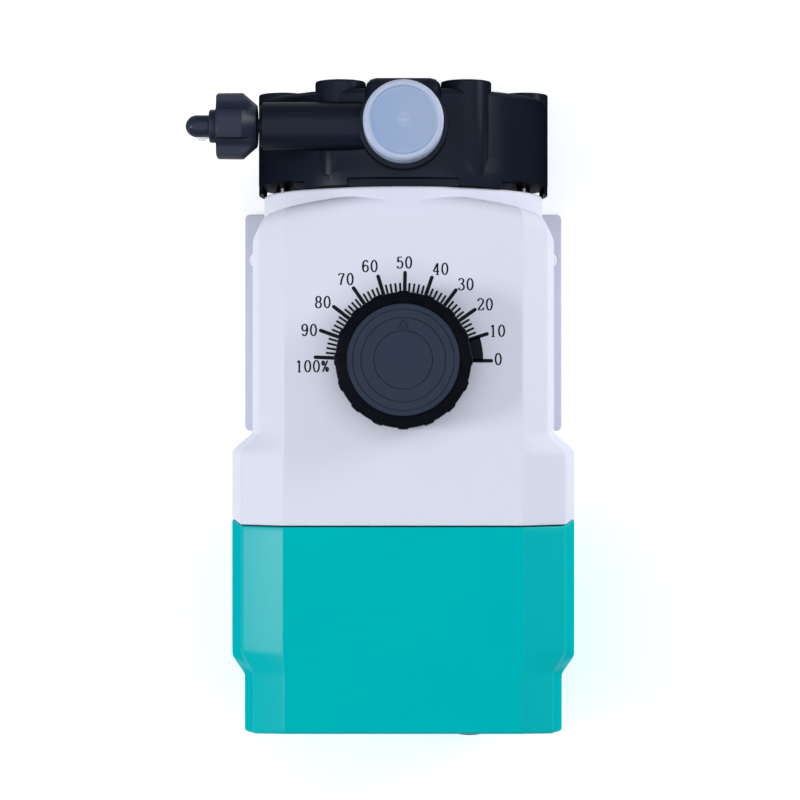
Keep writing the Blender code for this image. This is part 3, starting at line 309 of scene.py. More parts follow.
def stoneWhite(name, colour, rough):
    made = Finish(name)
    clouds = made.noise(90.0, 4.0, 0.6)
    made.feed("Base Color", made.blend(clouds, tuple(c * 0.86 for c in colour), colour))
    made.feed("Roughness", (clouds * 0.15 + rough).clipped())
    made.bump(clouds, 0.06, 0.0001)
    return made.material


# colours are (light, dark) pairs that a faint cloudiness runs between
plastics = {
    "white_housing": dict(
        colour=(0.765, 0.785, 0.90), deep=(0.725, 0.745, 0.865), rough=0.5, grain=0.10, specular=0.35,
    ),
    "pale_base": dict(
        colour=(0.68, 0.70, 0.82), deep=(0.63, 0.65, 0.78), rough=0.5, grain=0.12, specular=0.35,
    ),
    "teal_cover": dict(
        colour=(0.0, 0.505, 0.53), deep=(0.0, 0.46, 0.485), rough=0.42, grain=0.07, specular=0.0,
        coat=0.3, bareTop=True,
    ),
    # the last colour of head_black and of fitting_black is their painted sheen, which lightens their upward
    # faces
    "head_black": dict(
        colour=(0.003, 0.0036, 0.0062), deep=(0.002, 0.0024, 0.0042), rough=0.48, grain=0.24, specular=0.0,
        coat=0.2, bareSides=(0.35, 0.75), dust=0.06, paintedTopSheen=(0.012, 0.0165, 0.030),
    ),
    "fitting_black": dict(
        colour=(0.006, 0.008, 0.015), deep=(0.004, 0.0055, 0.010), rough=0.42, grain=0.18, specular=0.0,
        coat=0.35, dust=0.05, paintedTopSheen=(0.027, 0.034, 0.062),
    ),
    "knob_black": dict(
        colour=(0.003, 0.004, 0.008), deep=(0.002, 0.0028, 0.0058), rough=0.40, grain=0.12, specular=0.045,
    ),
    "knob_insert": dict(
        colour=(0.024, 0.035, 0.064), deep=(0.020, 0.030, 0.056), rough=0.42, grain=0.10, specular=0.14,
    ),
    "pearl_plastic": dict(
        colour=(0.74, 0.74, 0.70), deep=(0.62, 0.62, 0.58), rough=0.42, grain=0.10,
    ),
    "ink": dict(
        colour=(0.006, 0.007, 0.014), deep=(0.004, 0.005, 0.010), rough=0.5, grain=0.04, specular=0.1,
    ),
}
looks = {slot: plastic(slot, **recipe) for slot, recipe in plastics.items()}
capLow, capHigh = lowHigh("discharge_cap")
looks["milky_plastic"] = milkyPlastic("milky_plastic", middle("discharge_cap"), (capHigh.x - capLow.x) / 2)
looks["hose"] = clearPlastic("hose")
looks["rubber"] = rubberFinish("rubber")
looks["ptfe"] = stoneWhite("ptfe", (0.86, 0.86, 0.83), 0.35)
looks["ceramic"] = stoneWhite("ceramic", (0.90, 0.89, 0.85), 0.12)
looks["steel"] = brushedMetal("steel", (0.62, 0.62, 0.63), 0.30)
looks["bronze"] = brushedMetal("bronze", (0.58, 0.37, 0.15), 0.32)
looks["aluminium"] = castMetal("aluminium", (0.62, 0.63, 0.64))
looks["copper"] = windingCopper("copper")
print("finishes made:", len(looks))

slotOf = {s["node"]: s["material_slot"] for s in frame["record"]["subparts"]}
for name, part in nodes.items():
    part.data.materials.clear()
    part.data.materials.append(looks[slotOf[name]])


def meshFrom(name, shape):
    bmesh.ops.recalc_face_normals(shape, faces=shape.faces)
    mesh = bpy.data.meshes.new(name)
    shape.to_mesh(mesh)
    shape.free()
    return mesh


def show(name, shape, look=None, angle=32.0):
    mesh = meshFrom(name, shape)
    piece = bpy.data.objects.new(name, mesh)
    bpy.context.scene.collection.objects.link(piece)
    if look:
        mesh.materials.append(looks[look])
    mesh.shade_smooth()
    mesh.set_sharp_from_angle(angle=math.radians(angle))
    return piece


def fitted(piece, slot, body, *replaced):
    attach(piece, body)
    if replaced:
        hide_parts(*replaced)
    return piece


def arcPoints(centre, radius, start, end, steps):
    return [
        (centre[0] + radius * math.cos(start + (end - start) * i / steps),
         centre[1] + radius * math.sin(start + (end - start) * i / steps))
        for i in range(steps + 1)
    ]


def filleted(points, closed=True, steps=5):
    # corners given as (x, y, radius) become arcs, and a radius of nothing leaves the corner sharp
    made = []
    count = len(points)
    for i, corner in enumerate(points):
        here = Vector(corner[:2])
        radius = corner[2] if len(corner) > 2 else 0.0
        if radius <= 0 or (not closed and i in (0, count - 1)):
            made.append(tuple(here))
            continue
        before = Vector(points[i - 1][:2])
        after = Vector(points[(i + 1) % count][:2])
        toBefore = (before - here).normalized()
        toAfter = (after - here).normalized()
        half = toBefore.angle(toAfter) / 2
        if half > math.pi / 2 - 0.02:
            made.append(tuple(here))
            continue
        limit = 0.48 * min((before - here).length, (after - here).length)
        reach = min(radius / math.tan(half), limit)
        radius = reach * math.tan(half)
        hub = here + (toBefore + toAfter).normalized() * (radius / math.sin(half))
        first = here + toBefore * reach - hub
        last = here + toAfter * reach - hub
        for k in range(steps + 1):
            made.append(tuple(hub + first.normalized().slerp(last.normalized(), k / steps) * radius))
    return made


def lathed(profile, place, axis, steps=96, closed=False):
    # the profile's (radius, height) points turned round the axis, with points on the axis shared
    shape = bmesh.new()
    turn = Vector((0, 0, 1)).rotation_difference(Vector(axis)).to_matrix().to_4x4()
    world = Matrix.Translation(Vector(place)) @ turn
    rings = []
    for radius, height in profile:
        if radius < 1e-7:
            rings.append([shape.verts.new(world @ Vector((0, 0, height)))])
            continue
        ring = []
        for i in range(steps):
            angle = 2 * math.pi * i / steps
            point = Vector((radius * math.cos(angle), radius * math.sin(angle), height))
            ring.append(shape.verts.new(world @ point))
        rings.append(ring)
    pairs = list(zip(rings, rings[1:]))
    if closed:
        pairs.append((rings[-1], rings[0]))
    for first, second in pairs:
        for i in range(steps):
            j = (i + 1) % steps
            ends = ((first, i), (first, j), (second, j), (second, i))
            corners = [ring[k % len(ring)] for ring, k in ends]
            kept = []
            for corner in corners:
                if corner not in kept:
                    kept.append(corner)
            if len(kept) > 2:
                shape.faces.new(kept)
    return shape


def prism(outline, low, high, place=(0, 0, 0), axis=(0, 0, 1), rim=0.0):
    # an outline given height, with its rims rounded over
    shape = bmesh.new()
    turn = Vector((0, 0, 1)).rotation_difference(Vector(axis)).to_matrix().to_4x4()
    world = Matrix.Translation(Vector(place)) @ turn
    base = shape.faces.new([shape.verts.new((x, y, low)) for x, y in outline])
    made = bmesh.ops.extrude_face_region(shape, geom=[base])
    moved = [v for v in made["geom"] if isinstance(v, bmesh.types.BMVert)]
    bmesh.ops.translate(shape, verts=moved, vec=(0, 0, high - low))
    bmesh.ops.recalc_face_normals(shape, faces=shape.faces)
    if rim:
        flat = [e for e in shape.edges if abs(e.verts[0].co.z - e.verts[1].co.z) < 1e-9]
        bmesh.ops.bevel(
            shape, geom=flat, offset=rim, segments=3, profile=0.5, affect="EDGES", clamp_overlap=True,
        )
    bmesh.ops.transform(shape, matrix=world, verts=shape.verts)
    return shape


def changed(piece, tools, operation):
    for tool in tools:
        step = piece.modifiers.new("change", "BOOLEAN")
        step.operation = operation
        step.solver = "EXACT"
        step.object = tool
        bpy.context.view_layer.update()
        result = bpy.data.meshes.new_from_object(piece.evaluated_get(bpy.context.evaluated_depsgraph_get()))
        piece.modifiers.clear()
        old = piece.data
        piece.data = result
        bpy.data.meshes.remove(old)
        bpy.data.objects.remove(tool)
    piece.data.shade_smooth()
    piece.data.set_sharp_from_angle(angle=math.radians(32.0))
    return piece


def tool(shape):
    return show("tool", shape)


def fused(piece, *shapes):
    return changed(piece, [tool(s) for s in shapes], "UNION")


def carved(piece, *shapes):
    return changed(piece, [tool(s) for s in shapes], "DIFFERENCE")


def roundBar(radius, length, place, axis, steps=48, rim=0.0004):
    profile = filleted([(0, length), (radius, length, rim), (radius, 0, rim), (0, 0)], closed=False, steps=3)
    return lathed(profile, place, axis, steps)


def boxShape(size, centre, rim=0.0):
    shape = bmesh.new()
    place = Matrix.Translation(Vector(centre)) @ Matrix.Diagonal((*size, 1))
    bmesh.ops.create_cube(shape, size=1.0, matrix=place)
    if rim:
        bmesh.ops.bevel(shape, geom=shape.edges, offset=rim, segments=3, profile=0.5, affect="EDGES")
    return shape


housingLow, housingHigh = lowHigh("housing")
coverLow, coverHigh = lowHigh("motor_cover")
shell = {
    "wall": 3.0 * mm,
    "edge": 6.4 * mm,            # rounding of the front edge
    "seamEdge": 0.45 * mm,
    "rearEdge": 1.6 * mm,
    "archRadius": 200.0 * mm,
    "frontY": -99.7 * mm,
    "bulgeFront": (-1.1 * mm, 7.6 * mm),
    "bulgeRearSide": (96.0 * mm, 104.8 * mm),
    "bulgeRearTop": (88.8 * mm, 99.6 * mm),
    "lean": 7.7 * mm,
    "widestZ": 80.0 * mm,
}
topZ = housingHigh.z
# height, half width in front, in the bulge and behind, rounding
levels = (
    (housingLow.z, 58.0 * mm, 66.0 * mm, 61.0 * mm, 3.0 * mm),
    (36.0 * mm, 61.5 * mm, 70.5 * mm, 65.0 * mm, 40.0 * mm),
    (80.0 * mm, 65.6 * mm, 74.5 * mm, 69.0 * mm, 14.0 * mm),
    (136.0 * mm, 59.6 * mm, 67.3 * mm, 62.3 * mm, 3.6 * mm),
    (topZ, 49.0 * mm, 49.0 * mm, 48.6 * mm, 2.2 * mm),
)


def ease(value, low, high):
    share = min(1.0, max(0.0, (value - low) / (high - low)))
    return share * share * (3 - 2 * share)


def ramp(value, low, high, soft=0.4):
    # a straight slope with softened ends
    share = (value - low) / (high - low)
    plain = min(1.0, max(0.0, share))
    return plain * (1 - soft) + ease(value, low, high) * soft


def halfWidth(row, y):
    height, front, bulge, rear, rounding = levels[row]
    upper = row >= 3
    start, end = shell["bulgeRearTop"] if upper else shell["bulgeRearSide"]
    return front + (bulge - front) * ramp(y, *shell["bulgeFront"]) + (rear - bulge) * ramp(y, start, end)


def sectionAt(y, inset, flatPoints=24, cornerSteps=6):
    # the section's outline as points (x, z), moved inwards by the inset, always with the same number of points
    flank = [Vector((halfWidth(row, y), levels[row][0])) for row in range(len(levels))]
    corners = flank + [Vector((-p.x, p.y)) for p in reversed(flank)]
    roundings = [level[4] for level in levels]
    roundings = roundings + roundings[::-1]
    count = len(corners)
    moved = []
    for i in range(count):
        before = (corners[i] - corners[i - 1]).normalized()
        after = (corners[(i + 1) % count] - corners[i]).normalized()
        normalBefore = Vector((-before.y, before.x))
        normalAfter = Vector((-after.y, after.x))
        miter = (normalBefore + normalAfter).normalized()
        moved.append(corners[i] + miter * (inset / max(0.3, miter.dot(normalBefore))))
    made = []
    for i, here in enumerate(moved):
        toBefore = (moved[i - 1] - here)
        toAfter = (moved[(i + 1) % count] - here)
        room = 0.48 * min(toBefore.length, toAfter.length)
        toBefore.normalize()
        toAfter.normalize()
        half = toBefore.angle(toAfter) / 2
        radius = max(0.6 * mm, roundings[i] - inset)
        reach = min(radius / math.tan(half), room)
        # a quadratic curve from one flank to the other
        start, end = here + toBefore * reach, here + toAfter * reach
        for k in range(cornerSteps + 1):
            t = k / cornerSteps
            made.append(tuple(start * (1 - t) ** 2 + here * 2 * t * (1 - t) + end * t * t))
        if i in (len(levels) - 1, count - 1):
            after = moved[(i + 1) % count]
            nextReach = here + toAfter * reach
            far = Vector((-nextReach.x, nextReach.y))
            made += [tuple(nextReach.lerp(far, k / flatPoints)) for k in range(1, flatPoints)]
    return made


def archAt(x, y):
    fade = 1 - ease(y, shell["frontY"], shell["bulgeFront"][0])
    return x * x / (2 * shell["archRadius"]) * fade


def leanAt(z, y, rearY):
    rise = max(0.0, z - shell["widestZ"]) / (topZ - shell["widestZ"])
    return -shell["lean"] * rise * min(1.0, max(0.0, 1 - (rearY - y) / (40 * mm)))


def loftRings(shape, stations, rearY=None):
    # a ring of vertices for each (y, inset) or (y, inset, share of the size)
    rings = []
    heart = Vector((0, shell["widestZ"]))
    for y, inset, *share in stations:
        ring = []
        for point in sectionAt(y, inset):
            x, z = heart.lerp(Vector(point), share[0] if share else 1.0)
            lean = leanAt(z, y, rearY) if rearY else 0.0
            ring.append(shape.verts.new((x, y + archAt(x, y) + lean, z)))
        rings.append(ring)
    return rings


def stitched(shape, rings):
    for first, second in zip(rings, rings[1:]):
        for i in range(len(first)):
            j = (i + 1) % len(first)
            shape.faces.new((first[i], first[j], second[j], second[i]))


def closedOff(shape, ring):
    # a flat end, its corners drawn to the middle line so that it keeps the arch
    hub = shape.verts.new(sum((v.co for v in ring), Vector()) / len(ring))
    for i in range(len(ring)):
        shape.faces.new((ring[i], ring[(i + 1) % len(ring)], hub))


def roundedEnd(y, radius, way, steps=6):
    # stations from the flank to the end face that round the edge over: way -1 for an end facing -Y, 1 for +Y
    made = []
    for k in range(steps + 1):
        angle = math.pi / 2 * k / steps
        made.append((y - way * radius * (1 - math.sin(angle)), radius * (1 - math.cos(angle))))
    return made


def spread(low, high, step):
    count = max(1, round((high - low) / step))
    return [low + (high - low) * i / count for i in range(count + 1)]


def buildHousing():
    shape = bmesh.new()
    front = shell["frontY"]
    edge = shell["edge"]
    seam = housingHigh.y
    outer = [(front, edge, share) for share in (0.1, 0.3, 0.5, 0.7, 0.85, 0.94)]
    outer += roundedEnd(front, edge, -1)[::-1]
    middleYs = spread(front + edge + 2 * mm, shell["bulgeFront"][0] - 2 * mm, 9 * mm)
    middleYs += spread(shell["bulgeFront"][0] - 0.5 * mm, shell["bulgeFront"][1] + 0.5 * mm, 0.9 * mm)
    middleYs += spread(shell["bulgeFront"][1] + 3 * mm, seam - 3 * mm, 8 * mm)
    outer += [(y, 0.0) for y in middleYs]
    outer += roundedEnd(seam, shell["seamEdge"], 1, 3)
    wall = shell["wall"]
    inner = [(seam, wall)] + [(y, wall) for y in middleYs[::-3]]
    inner += [(front + wall, wall + 3 * mm)]
    inner += [(front + wall, wall + 3 * mm, share) for share in (0.7, 0.4, 0.1)]
    rings = loftRings(shape, outer + inner)
    stitched(shape, rings)
    closedOff(shape, rings[0])
    closedOff(shape, rings[-1])
    return shape


def buildCover():
    shape = bmesh.new()
    seam, rear = coverLow.y, coverHigh.y
    ys = spread(seam + 3 * mm, shell["bulgeRearTop"][0] - 3 * mm, 9 * mm)
    ys += spread(shell["bulgeRearTop"][0] - 0.5 * mm, shell["bulgeRearSide"][1] + 0.5 * mm, 0.9 * mm)
    ys += spread(shell["bulgeRearSide"][1] + 3 * mm, rear - shell["rearEdge"] - 1.5 * mm, 5 * mm)
    edge = shell["rearEdge"]
    outer = roundedEnd(seam, shell["seamEdge"], -1, 3)[::-1]
    outer += [(y, 0.0) for y in ys]
    outer += roundedEnd(rear, edge, 1)
    outer += [(rear, edge, share) for share in (0.9, 0.7, 0.4, 0.1)]
    wall = shell["wall"]
    inner = [(rear - wall, wall + 3 * mm, share) for share in (0.1, 0.4, 0.7, 1.0)]
    inner += [(y, wall) for y in ys[::-3]] + [(seam, wall)]
    rings = loftRings(shape, inner + outer, rear)
    stitched(shape, rings)
    closedOff(shape, rings[0])
    closedOff(shape, rings[-1])
    return shape


def makeHousing():
    housing = show("housingShell", buildHousing(), "white_housing", 40.0)
    neckLow = housingLow.y
    headZ = middle("diaphragm").z
    neckRadius = 60.0 * mm
    neck = filleted([
        (0, 12 * mm), (neckRadius, 12 * mm), (neckRadius, 0, 1.2 * mm), (neckRadius - 6 * mm, 0), (0, 0),
    ], closed=False)
    housing = fused(housing, lathed(neck, (0, neckLow, headZ), back, 128))
    bore = roundBar(43.3 * mm, 30 * mm, (0, neckLow - 2 * mm, headZ), back, 96, 0)
    knobHub = middle("stroke_knob")
    hole = roundBar(9.3 * mm, 20 * mm, (knobHub.x, knobHub.y, topZ - 10 * mm), up, 48, 0)
    housing = carved(housing, bore, hole)
    fitted(housing, "white_housing", "pump_body", "housing")
    cover = show("motorCoverShell", buildCover(), "teal_cover", 40.0)
    for i in range(1, 5):
        screw = middle(f"cover_screw_{i}")
        seat = lowHigh(f"cover_screw_{i}")[1].y - 3.3 * mm
        cover = fused(cover, roundBar(6 * mm, 8 * mm, (screw.x, seat - 5.1 * mm, screw.z), back, 32, 0.3 * mm))
        cover = carved(cover, roundBar(4.3 * mm, 20 * mm, (screw.x, seat, screw.z), back, 32, 0))
    gland = middle("cable_gland")
    cover = carved(cover, roundBar(8.3 * mm, 20 * mm, (gland.x, coverHigh.y - 12 * mm, gland.z), back, 48, 0))
    fitted(cover, "teal_cover", "pump_body", "motor_cover")
    print("shells made")


def makeBase():
    low, high = lowHigh("base_plate")
    corner = 2.4 * mm
    waist = 60 * mm
    earEnd, earStart = -0.3 * mm, 18 * mm
    half = [
        (high.x, low.y, corner), (high.x, earEnd, corner), (waist, earEnd, 2 * mm),
        (waist, earStart, 2 * mm), (high.x, earStart, corner), (high.x, high.y, corner),
    ]
    outline = filleted(half + [(-x, y, r) for x, y, r in reversed(half)], steps=6)
    plate = show("basePlate", prism(outline, low.z, high.z, rim=0.7 * mm), "pale_base")
    for sx in (-1, 1):
        for sy in (-1, 1):
            hole = roundBar(3.5 * mm, 12 * mm, (sx * 68.4 * mm, sy * 80 * mm, -3 * mm), up, 40, 0)
            plate = carved(plate, hole)
    fitted(plate, "pale_base", "pump_body", "base_plate")


headLow, headHigh = lowHigh("pump_head")
headHub = Vector((0, 0, middle("diaphragm").z))
valveHub = middle("discharge_cap")
head = {
    "radius": 62.3 * mm,
    "lobeRadius": 10.5 * mm,
    "lobeRise": 4.1 * mm,
    "boltCircle": 52.0 * mm,
    "towerRadius": 18.5 * mm,
    "armRadius": 9.8 * mm,
    "armEnd": 58.5 * mm,
    "rimEdge": 1.2 * mm,
    "valveBore": 9.3 * mm,
    "blockHalfWidth": 15.5 * mm,
    "slot": (45.5 * mm, 59.8 * mm, 3.5 * mm),     # from, to and depth of the slots at the side screws
}


def makeHead():
    rear = headHigh.y
    depth = rear - (headLow.y + head["lobeRise"])
    radius = head["radius"]
    profile = filleted([
        (0, depth + 1.2 * mm),
        (29.5 * mm, depth + 1.2 * mm, 0.6 * mm),
        (31 * mm, depth, 0.6 * mm),
        (radius - 2.6 * mm, depth, 1.2 * mm),
        (radius - 0.9 * mm, depth - 1.9 * mm, 1.4 * mm),
        (radius - 0.5 * mm, 12 * mm, 10 * mm),
        (radius, 6 * mm, 2 * mm),
        (radius, 0, 0.6 * mm),
        (radius - 3 * mm, 0),
        (0, 0),
    ], closed=False)
    piece = show("headBody", lathed(profile, (0, rear, headHub.z), ahead, 144), "head_black")
    lobes = []
    for i in range(6):
        screw = middle(f"head_screw_{i + 1}")
        place = (screw.x, rear - 4 * mm, screw.z)
        length = rear - 4 * mm - headLow.y
        lobes.append(roundBar(head["lobeRadius"], length, place, ahead, 56, 0.9 * mm))
    towerHeight = headHigh.z - headHub.z
    tower = filleted([
        (0, 2 * towerHeight), (head["towerRadius"], 2 * towerHeight, 0.9 * mm),
        (head["towerRadius"], 0, 0.9 * mm), (0, 0),
    ], closed=False)
    tower = lathed(tower, (0, valveHub.y, headHub.z - towerHeight), up, 80)
    armZ = middle("bleed_spindle").z
    arm = filleted([
        (0, head["armEnd"]), (8.2 * mm, head["armEnd"], 0.3 * mm),
        (8.6 * mm, head["armEnd"] - 0.8 * mm, 0.3 * mm),
        (head["armRadius"], head["armEnd"] - 0.9 * mm, 0.5 * mm), (head["armRadius"] + 0.2 * mm, 0), (0, 0),
    ], closed=False)
    arm = lathed(arm, (0, valveHub.y, armZ), right, 64)
    blocks = []
    for side in (-1, 1):
        outer, inner = towerHeight - 2.5 * mm, 24 * mm
        size = (2 * head["blockHalfWidth"], valveHub.y - headLow.y - 0.3 * mm, outer - inner)
        centre = (0, valveHub.y - size[1] / 2, headHub.z + side * (outer + inner) / 2)
        blocks.append(boxShape(size, centre, 4.5 * mm))
    piece = fused(piece, *lobes, tower, arm, *blocks)
    dish = [
        (0, 7.6 * mm), (18 * mm, 7.6 * mm), (20 * mm, 6.2 * mm), (38 * mm, 2.7 * mm), (43.3 * mm, 2.7 * mm),
        (43.3 * mm, -2 * mm), (0, -2 * mm),
    ]
    cuts = [lathed(dish, (0, rear, headHub.z), ahead, 96)]
    for i in range(6):
        screw = middle(f"head_screw_{i + 1}")
        top = lowHigh(f"head_screw_{i + 1}")[0].y
        cuts.append(roundBar(5.8 * mm, 20 * mm, (screw.x, top + 5.9 * mm, screw.z), ahead, 40, 0))
    for side in (-1, 1):
        place = (0, valveHub.y, headHub.z + side * (towerHeight + 6 * mm))
        cuts.append(roundBar(head["valveBore"], 39 * mm, place, down * side, 48, 0))
        start, end, deep = head["slot"]
        size = (end - start, deep + 2 * mm, 2 * radius)
        cuts.append(boxShape(size, (side * (start + end) / 2, rear - deep / 2 + 1 * mm, headHub.z), 0.3 * mm))
        notches = ((0, 46 * mm, 3.2 * mm), (43.4 * mm, 4.8 * mm, 2.8 * mm), (-43.4 * mm, 4.8 * mm, 2.8 * mm))
        for x, width, deep in notches:
            edge = math.sqrt(radius ** 2 - (abs(x) + width / 2) ** 2)
            centre = (x, rear - deep / 2 + 1 * mm, headHub.z + side * (edge - 3 * mm + 12 * mm))
            cuts.append(boxShape((width, deep + 2 * mm, 24 * mm), centre, 0.3 * mm))
    piece = carved(piece, *cuts)
    fitted(piece, "head_black", "pump_body", "pump_head")
    print("head made")


diaphragm = {
    "coreRadius": 14.0 * mm,
    "crown": 2.0 * mm,           # how far the core stands out in front
    "sectors": 12,
    "clamped": 41.7 * mm,        # outside this radius it is held between the head and the support disc
}


def makeDiaphragm():
    # the rod carries the core, and the flat part between the core and the clamped rim is made as separate
    # sectors
    low, high = lowHigh("diaphragm")
    hub = middle("diaphragm")
    rim = (high.x - low.x) / 2
    core = diaphragm["coreRadius"]
    depth = high.y - low.y
    thick = depth - diaphragm["crown"]
    profile = filleted([
        (0, depth), (core - 3.5 * mm, depth - 0.3 * mm, 1 * mm),
        (core - 0.3 * mm, thick, 0.8 * mm), (core, thick),
        (core, 0), (0, 0),
    ], closed=False)
    piece = show("diaphragmCore", lathed(profile, (0, high.y, hub.z), ahead, 72), "ptfe")
    fitted(piece, "ptfe", "rod", "diaphragm")
    count, across, along = diaphragm["sectors"], 9, 4
    for k in range(count):
        shape = bmesh.new()
        loops = []
        for i in range(across + 1):
            radius = core + (rim - core) * i / across
            row = []
            for j in range(along + 1):
                angle = 2 * math.pi * (k + j / along) / count
                row.append((hub.x + radius * math.cos(angle), hub.z + radius * math.sin(angle)))
            there = [shape.verts.new((x, high.y, z)) for x, z in row]
            front = [shape.verts.new((x, high.y - thick, z)) for x, z in reversed(row)]
            loops.append(there + front)
        stitched(shape, loops)
        shape.faces.new(loops[0])
        shape.faces.new(loops[-1])
        name = f"diaphragmSector{k + 1}"
        sector = show(name, shape, "ptfe")
        angle = 2 * math.pi * (k + 0.5) / count
        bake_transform(sector)
    # the support disc behind it is dished, so that the diaphragm has room on its way back
    low, high = lowHigh("support_disc")
    thick = high.y - low.y
    profile = [
        (rim, thick), (rim, 0), (core + 1.2 * mm, 0),
        (core + 1.2 * mm, thick - 3.6 * mm), (core + 5 * mm, thick - 3.2 * mm),
        (rim - 6 * mm, thick - 0.3 * mm), (rim - 5.5 * mm, thick),
    ]
    disc = show("supportDisc", lathed(profile, (0, high.y, hub.z), ahead, 96, True), "aluminium")
    fitted(disc, slotOf["support_disc"], "pump_body", "support_disc")
    print("diaphragm made")


def makeCaps():
    # transport caps: a raised rim round a thin disc, with a small gate mark in the middle
    for name, way in (("discharge", 1), ("suction", -1)):
        low, high = lowHigh(f"{name}_cap")
        height = high.z - low.z
        radius = (high.x - low.x) / 2
        base = low.z if way > 0 else high.z
        profile = filleted([
            (0, height - 1.1 * mm),
            (radius - 3.0 * mm, height - 0.95 * mm, 0.5 * mm),
            (radius - 2.4 * mm, height - 0.1 * mm, 0.5 * mm),
            (radius - 1.0 * mm, height, 0.8 * mm),
            (radius - 0.1 * mm, height - 1.2 * mm, 1.2 * mm),
            (radius, 1.2 * mm, 0.5 * mm),
            (radius, 0, 0.3 * mm),
            (radius - 2.1 * mm, 0),
            (radius - 2.1 * mm, height - 2.6 * mm, 1 * mm),
            (0, height - 2.6 * mm),
        ], closed=False)
        hub = (0, middle(f"{name}_cap").y, base)
        cap = show(f"{name}CapShell", lathed(profile, hub, up * way, 112), "milky_plastic")
        gate = filleted([
            (0, height - 0.8 * mm), (1.2 * mm, height - 0.9 * mm, 0.2 * mm),
            (1.7 * mm, height - 1.3 * mm), (0, height - 1.6 * mm),
        ], closed=False)
        cap = fused(cap, lathed(gate, hub, up * way, 32))
        fitted(cap, "milky_plastic", f"{name}_closure", f"{name}_cap")
    print("caps made")


def makeBleed():
    low, high = lowHigh("bleed_knob")
    hub = Vector((low.x, (low.y + high.y) / 2, (low.z + high.z) / 2))
    length = high.x - low.x
    radius = (high.z - low.z) / 2
    cone = filleted([
        (3.4 * mm, length),
        (radius - 0.7 * mm, length, 0.6 * mm),
        (radius - 0.1 * mm, length - 0.8 * mm, 0.5 * mm),
        (radius, 5.9 * mm, 1.2 * mm),
        (8.6 * mm, 0.1 * mm, 0.6 * mm),
        (8.0 * mm, 0, 0.2 * mm),
        (3.4 * mm, 0),
    ], closed=True, steps=4)
    knob = show("bleedKnobBody", lathed(cone, hub, right, 96, True), "fitting_black")
    cuts = []
    for i in range(4):
        angle = math.pi / 4 + i * math.pi / 2
        reach = radius + 2.0 * mm
        place = hub + Vector((-2 * mm, reach * math.cos(angle), reach * math.sin(angle)))
        cuts.append(roundBar(5.5 * mm, length + 4 * mm, place, right, 40, 0))
    knob = carved(knob, *cuts)
    fitted(knob, "fitting_black", "bleed_screw", "bleed_knob")
    # spindle with its collar beyond the knob
    low, high = lowHigh("bleed_spindle")
    collar = high.x - 2.8 * mm
    profile = filleted([
        (0, high.x), (6.2 * mm, high.x, 0.4 * mm),
        (6.8 * mm, high.x - 0.5 * mm, 0.2 * mm), (6.8 * mm, collar, 0.3 * mm),
        (3.0 * mm, collar), (3.0 * mm, 56.5 * mm), (4.9 * mm, 55.5 * mm),
        (4.9 * mm, 42 * mm), (3.2 * mm, 42 * mm),
        (3.2 * mm, 38.5 * mm), (4.9 * mm, 38.5 * mm), (4.9 * mm, 31 * mm), (0, low.x),
    ], closed=False, steps=3)
    spindle = show("bleedSpindleBody", lathed(profile, (0, hub.y, hub.z), right, 64), "fitting_black")
    fitted(spindle, "fitting_black", "bleed_screw", "bleed_spindle")
    # dome with its barb pointing down
    low, high = lowHigh("bleed_nozzle")
    dome = [(4.5 * mm, 0), (4.5 * mm, 4.6 * mm)] + arcPoints((0, 4.9 * mm), 4.5 * mm, 0.0, math.pi / 2, 10)
    dome = [(0, 0)] + dome[:-1] + [(0, 9.4 * mm)]
    nozzle = show("bleedNozzleBody", lathed(dome, (low.x, hub.y, hub.z), right, 56), "fitting_black")
    barb = filleted([
        (0, 16 * mm), (1.6 * mm, 16 * mm, 0.3 * mm), (2.3 * mm, 13 * mm, 0.15 * mm), (1.7 * mm, 12.9 * mm),
        (1.7 * mm, 0), (0, 0),
    ], closed=False, steps=3)
    barbX = low.x + 5 * mm
    nozzle = fused(nozzle, lathed(barb, (barbX, hub.y, hub.z), down, 32))
    fitted(nozzle, "fitting_black", "bleed_outlet", "bleed_nozzle")
    low, high = lowHigh("bleed_hose_cap")
    length = high.z - low.z
    outer, bore, floor = 3.1 * mm, 2.5 * mm, length - 1.4 * mm
    profile = [
        (0, floor), (bore, floor), (bore, 0), (outer, 0), (outer, floor),
        (outer - 0.2 * mm, length - 0.6 * mm), (2.3 * mm, length), (0, length),
    ]
    hose = lathed(profile, (barbX, hub.y, high.z), down, 40)
    tube = show("bleedHose", hose, "hose")
    fitted(tube, "milky_plastic", "bleed_outlet", "bleed_hose_cap")
    print("bleed valve made")


knobLow, knobHigh = lowHigh("stroke_knob")
knobHub = Vector((0, (knobLow.y + knobHigh.y) / 2, topZ + 0.6 * mm))
knob = {
    "radius": 28.2 * mm,
    "topRadius": 22.7 * mm,
    "ribs": 16,
    "ribShare": 0.37,        # of the pitch
    "ribDepth": 0.5 * mm,
    "insertRadius": 22.5 * mm,
    "rings": (11.7 * mm, 16.9 * mm, 20.3 * mm),
    "ringWidth": 0.42 * mm,
    "ringDepth": 0.5 * mm,
    "pointer": (16.4 * mm, 12.3 * mm, 2.9 * mm),     # tip, base and half width
}


def knobSkirtRadius(angle, depth):
    # the skirt's radius with its ribs, which stand out of it with steep sides
    pitch = 2 * math.pi / knob["ribs"]
    turn = (angle + math.pi / 2) / pitch
    off = abs(turn - round(turn)) / (knob["ribShare"] / 2)
    rise = 1 - ease(off, 0.88, 1.12)
    return knob["radius"] - depth * (1 - rise)


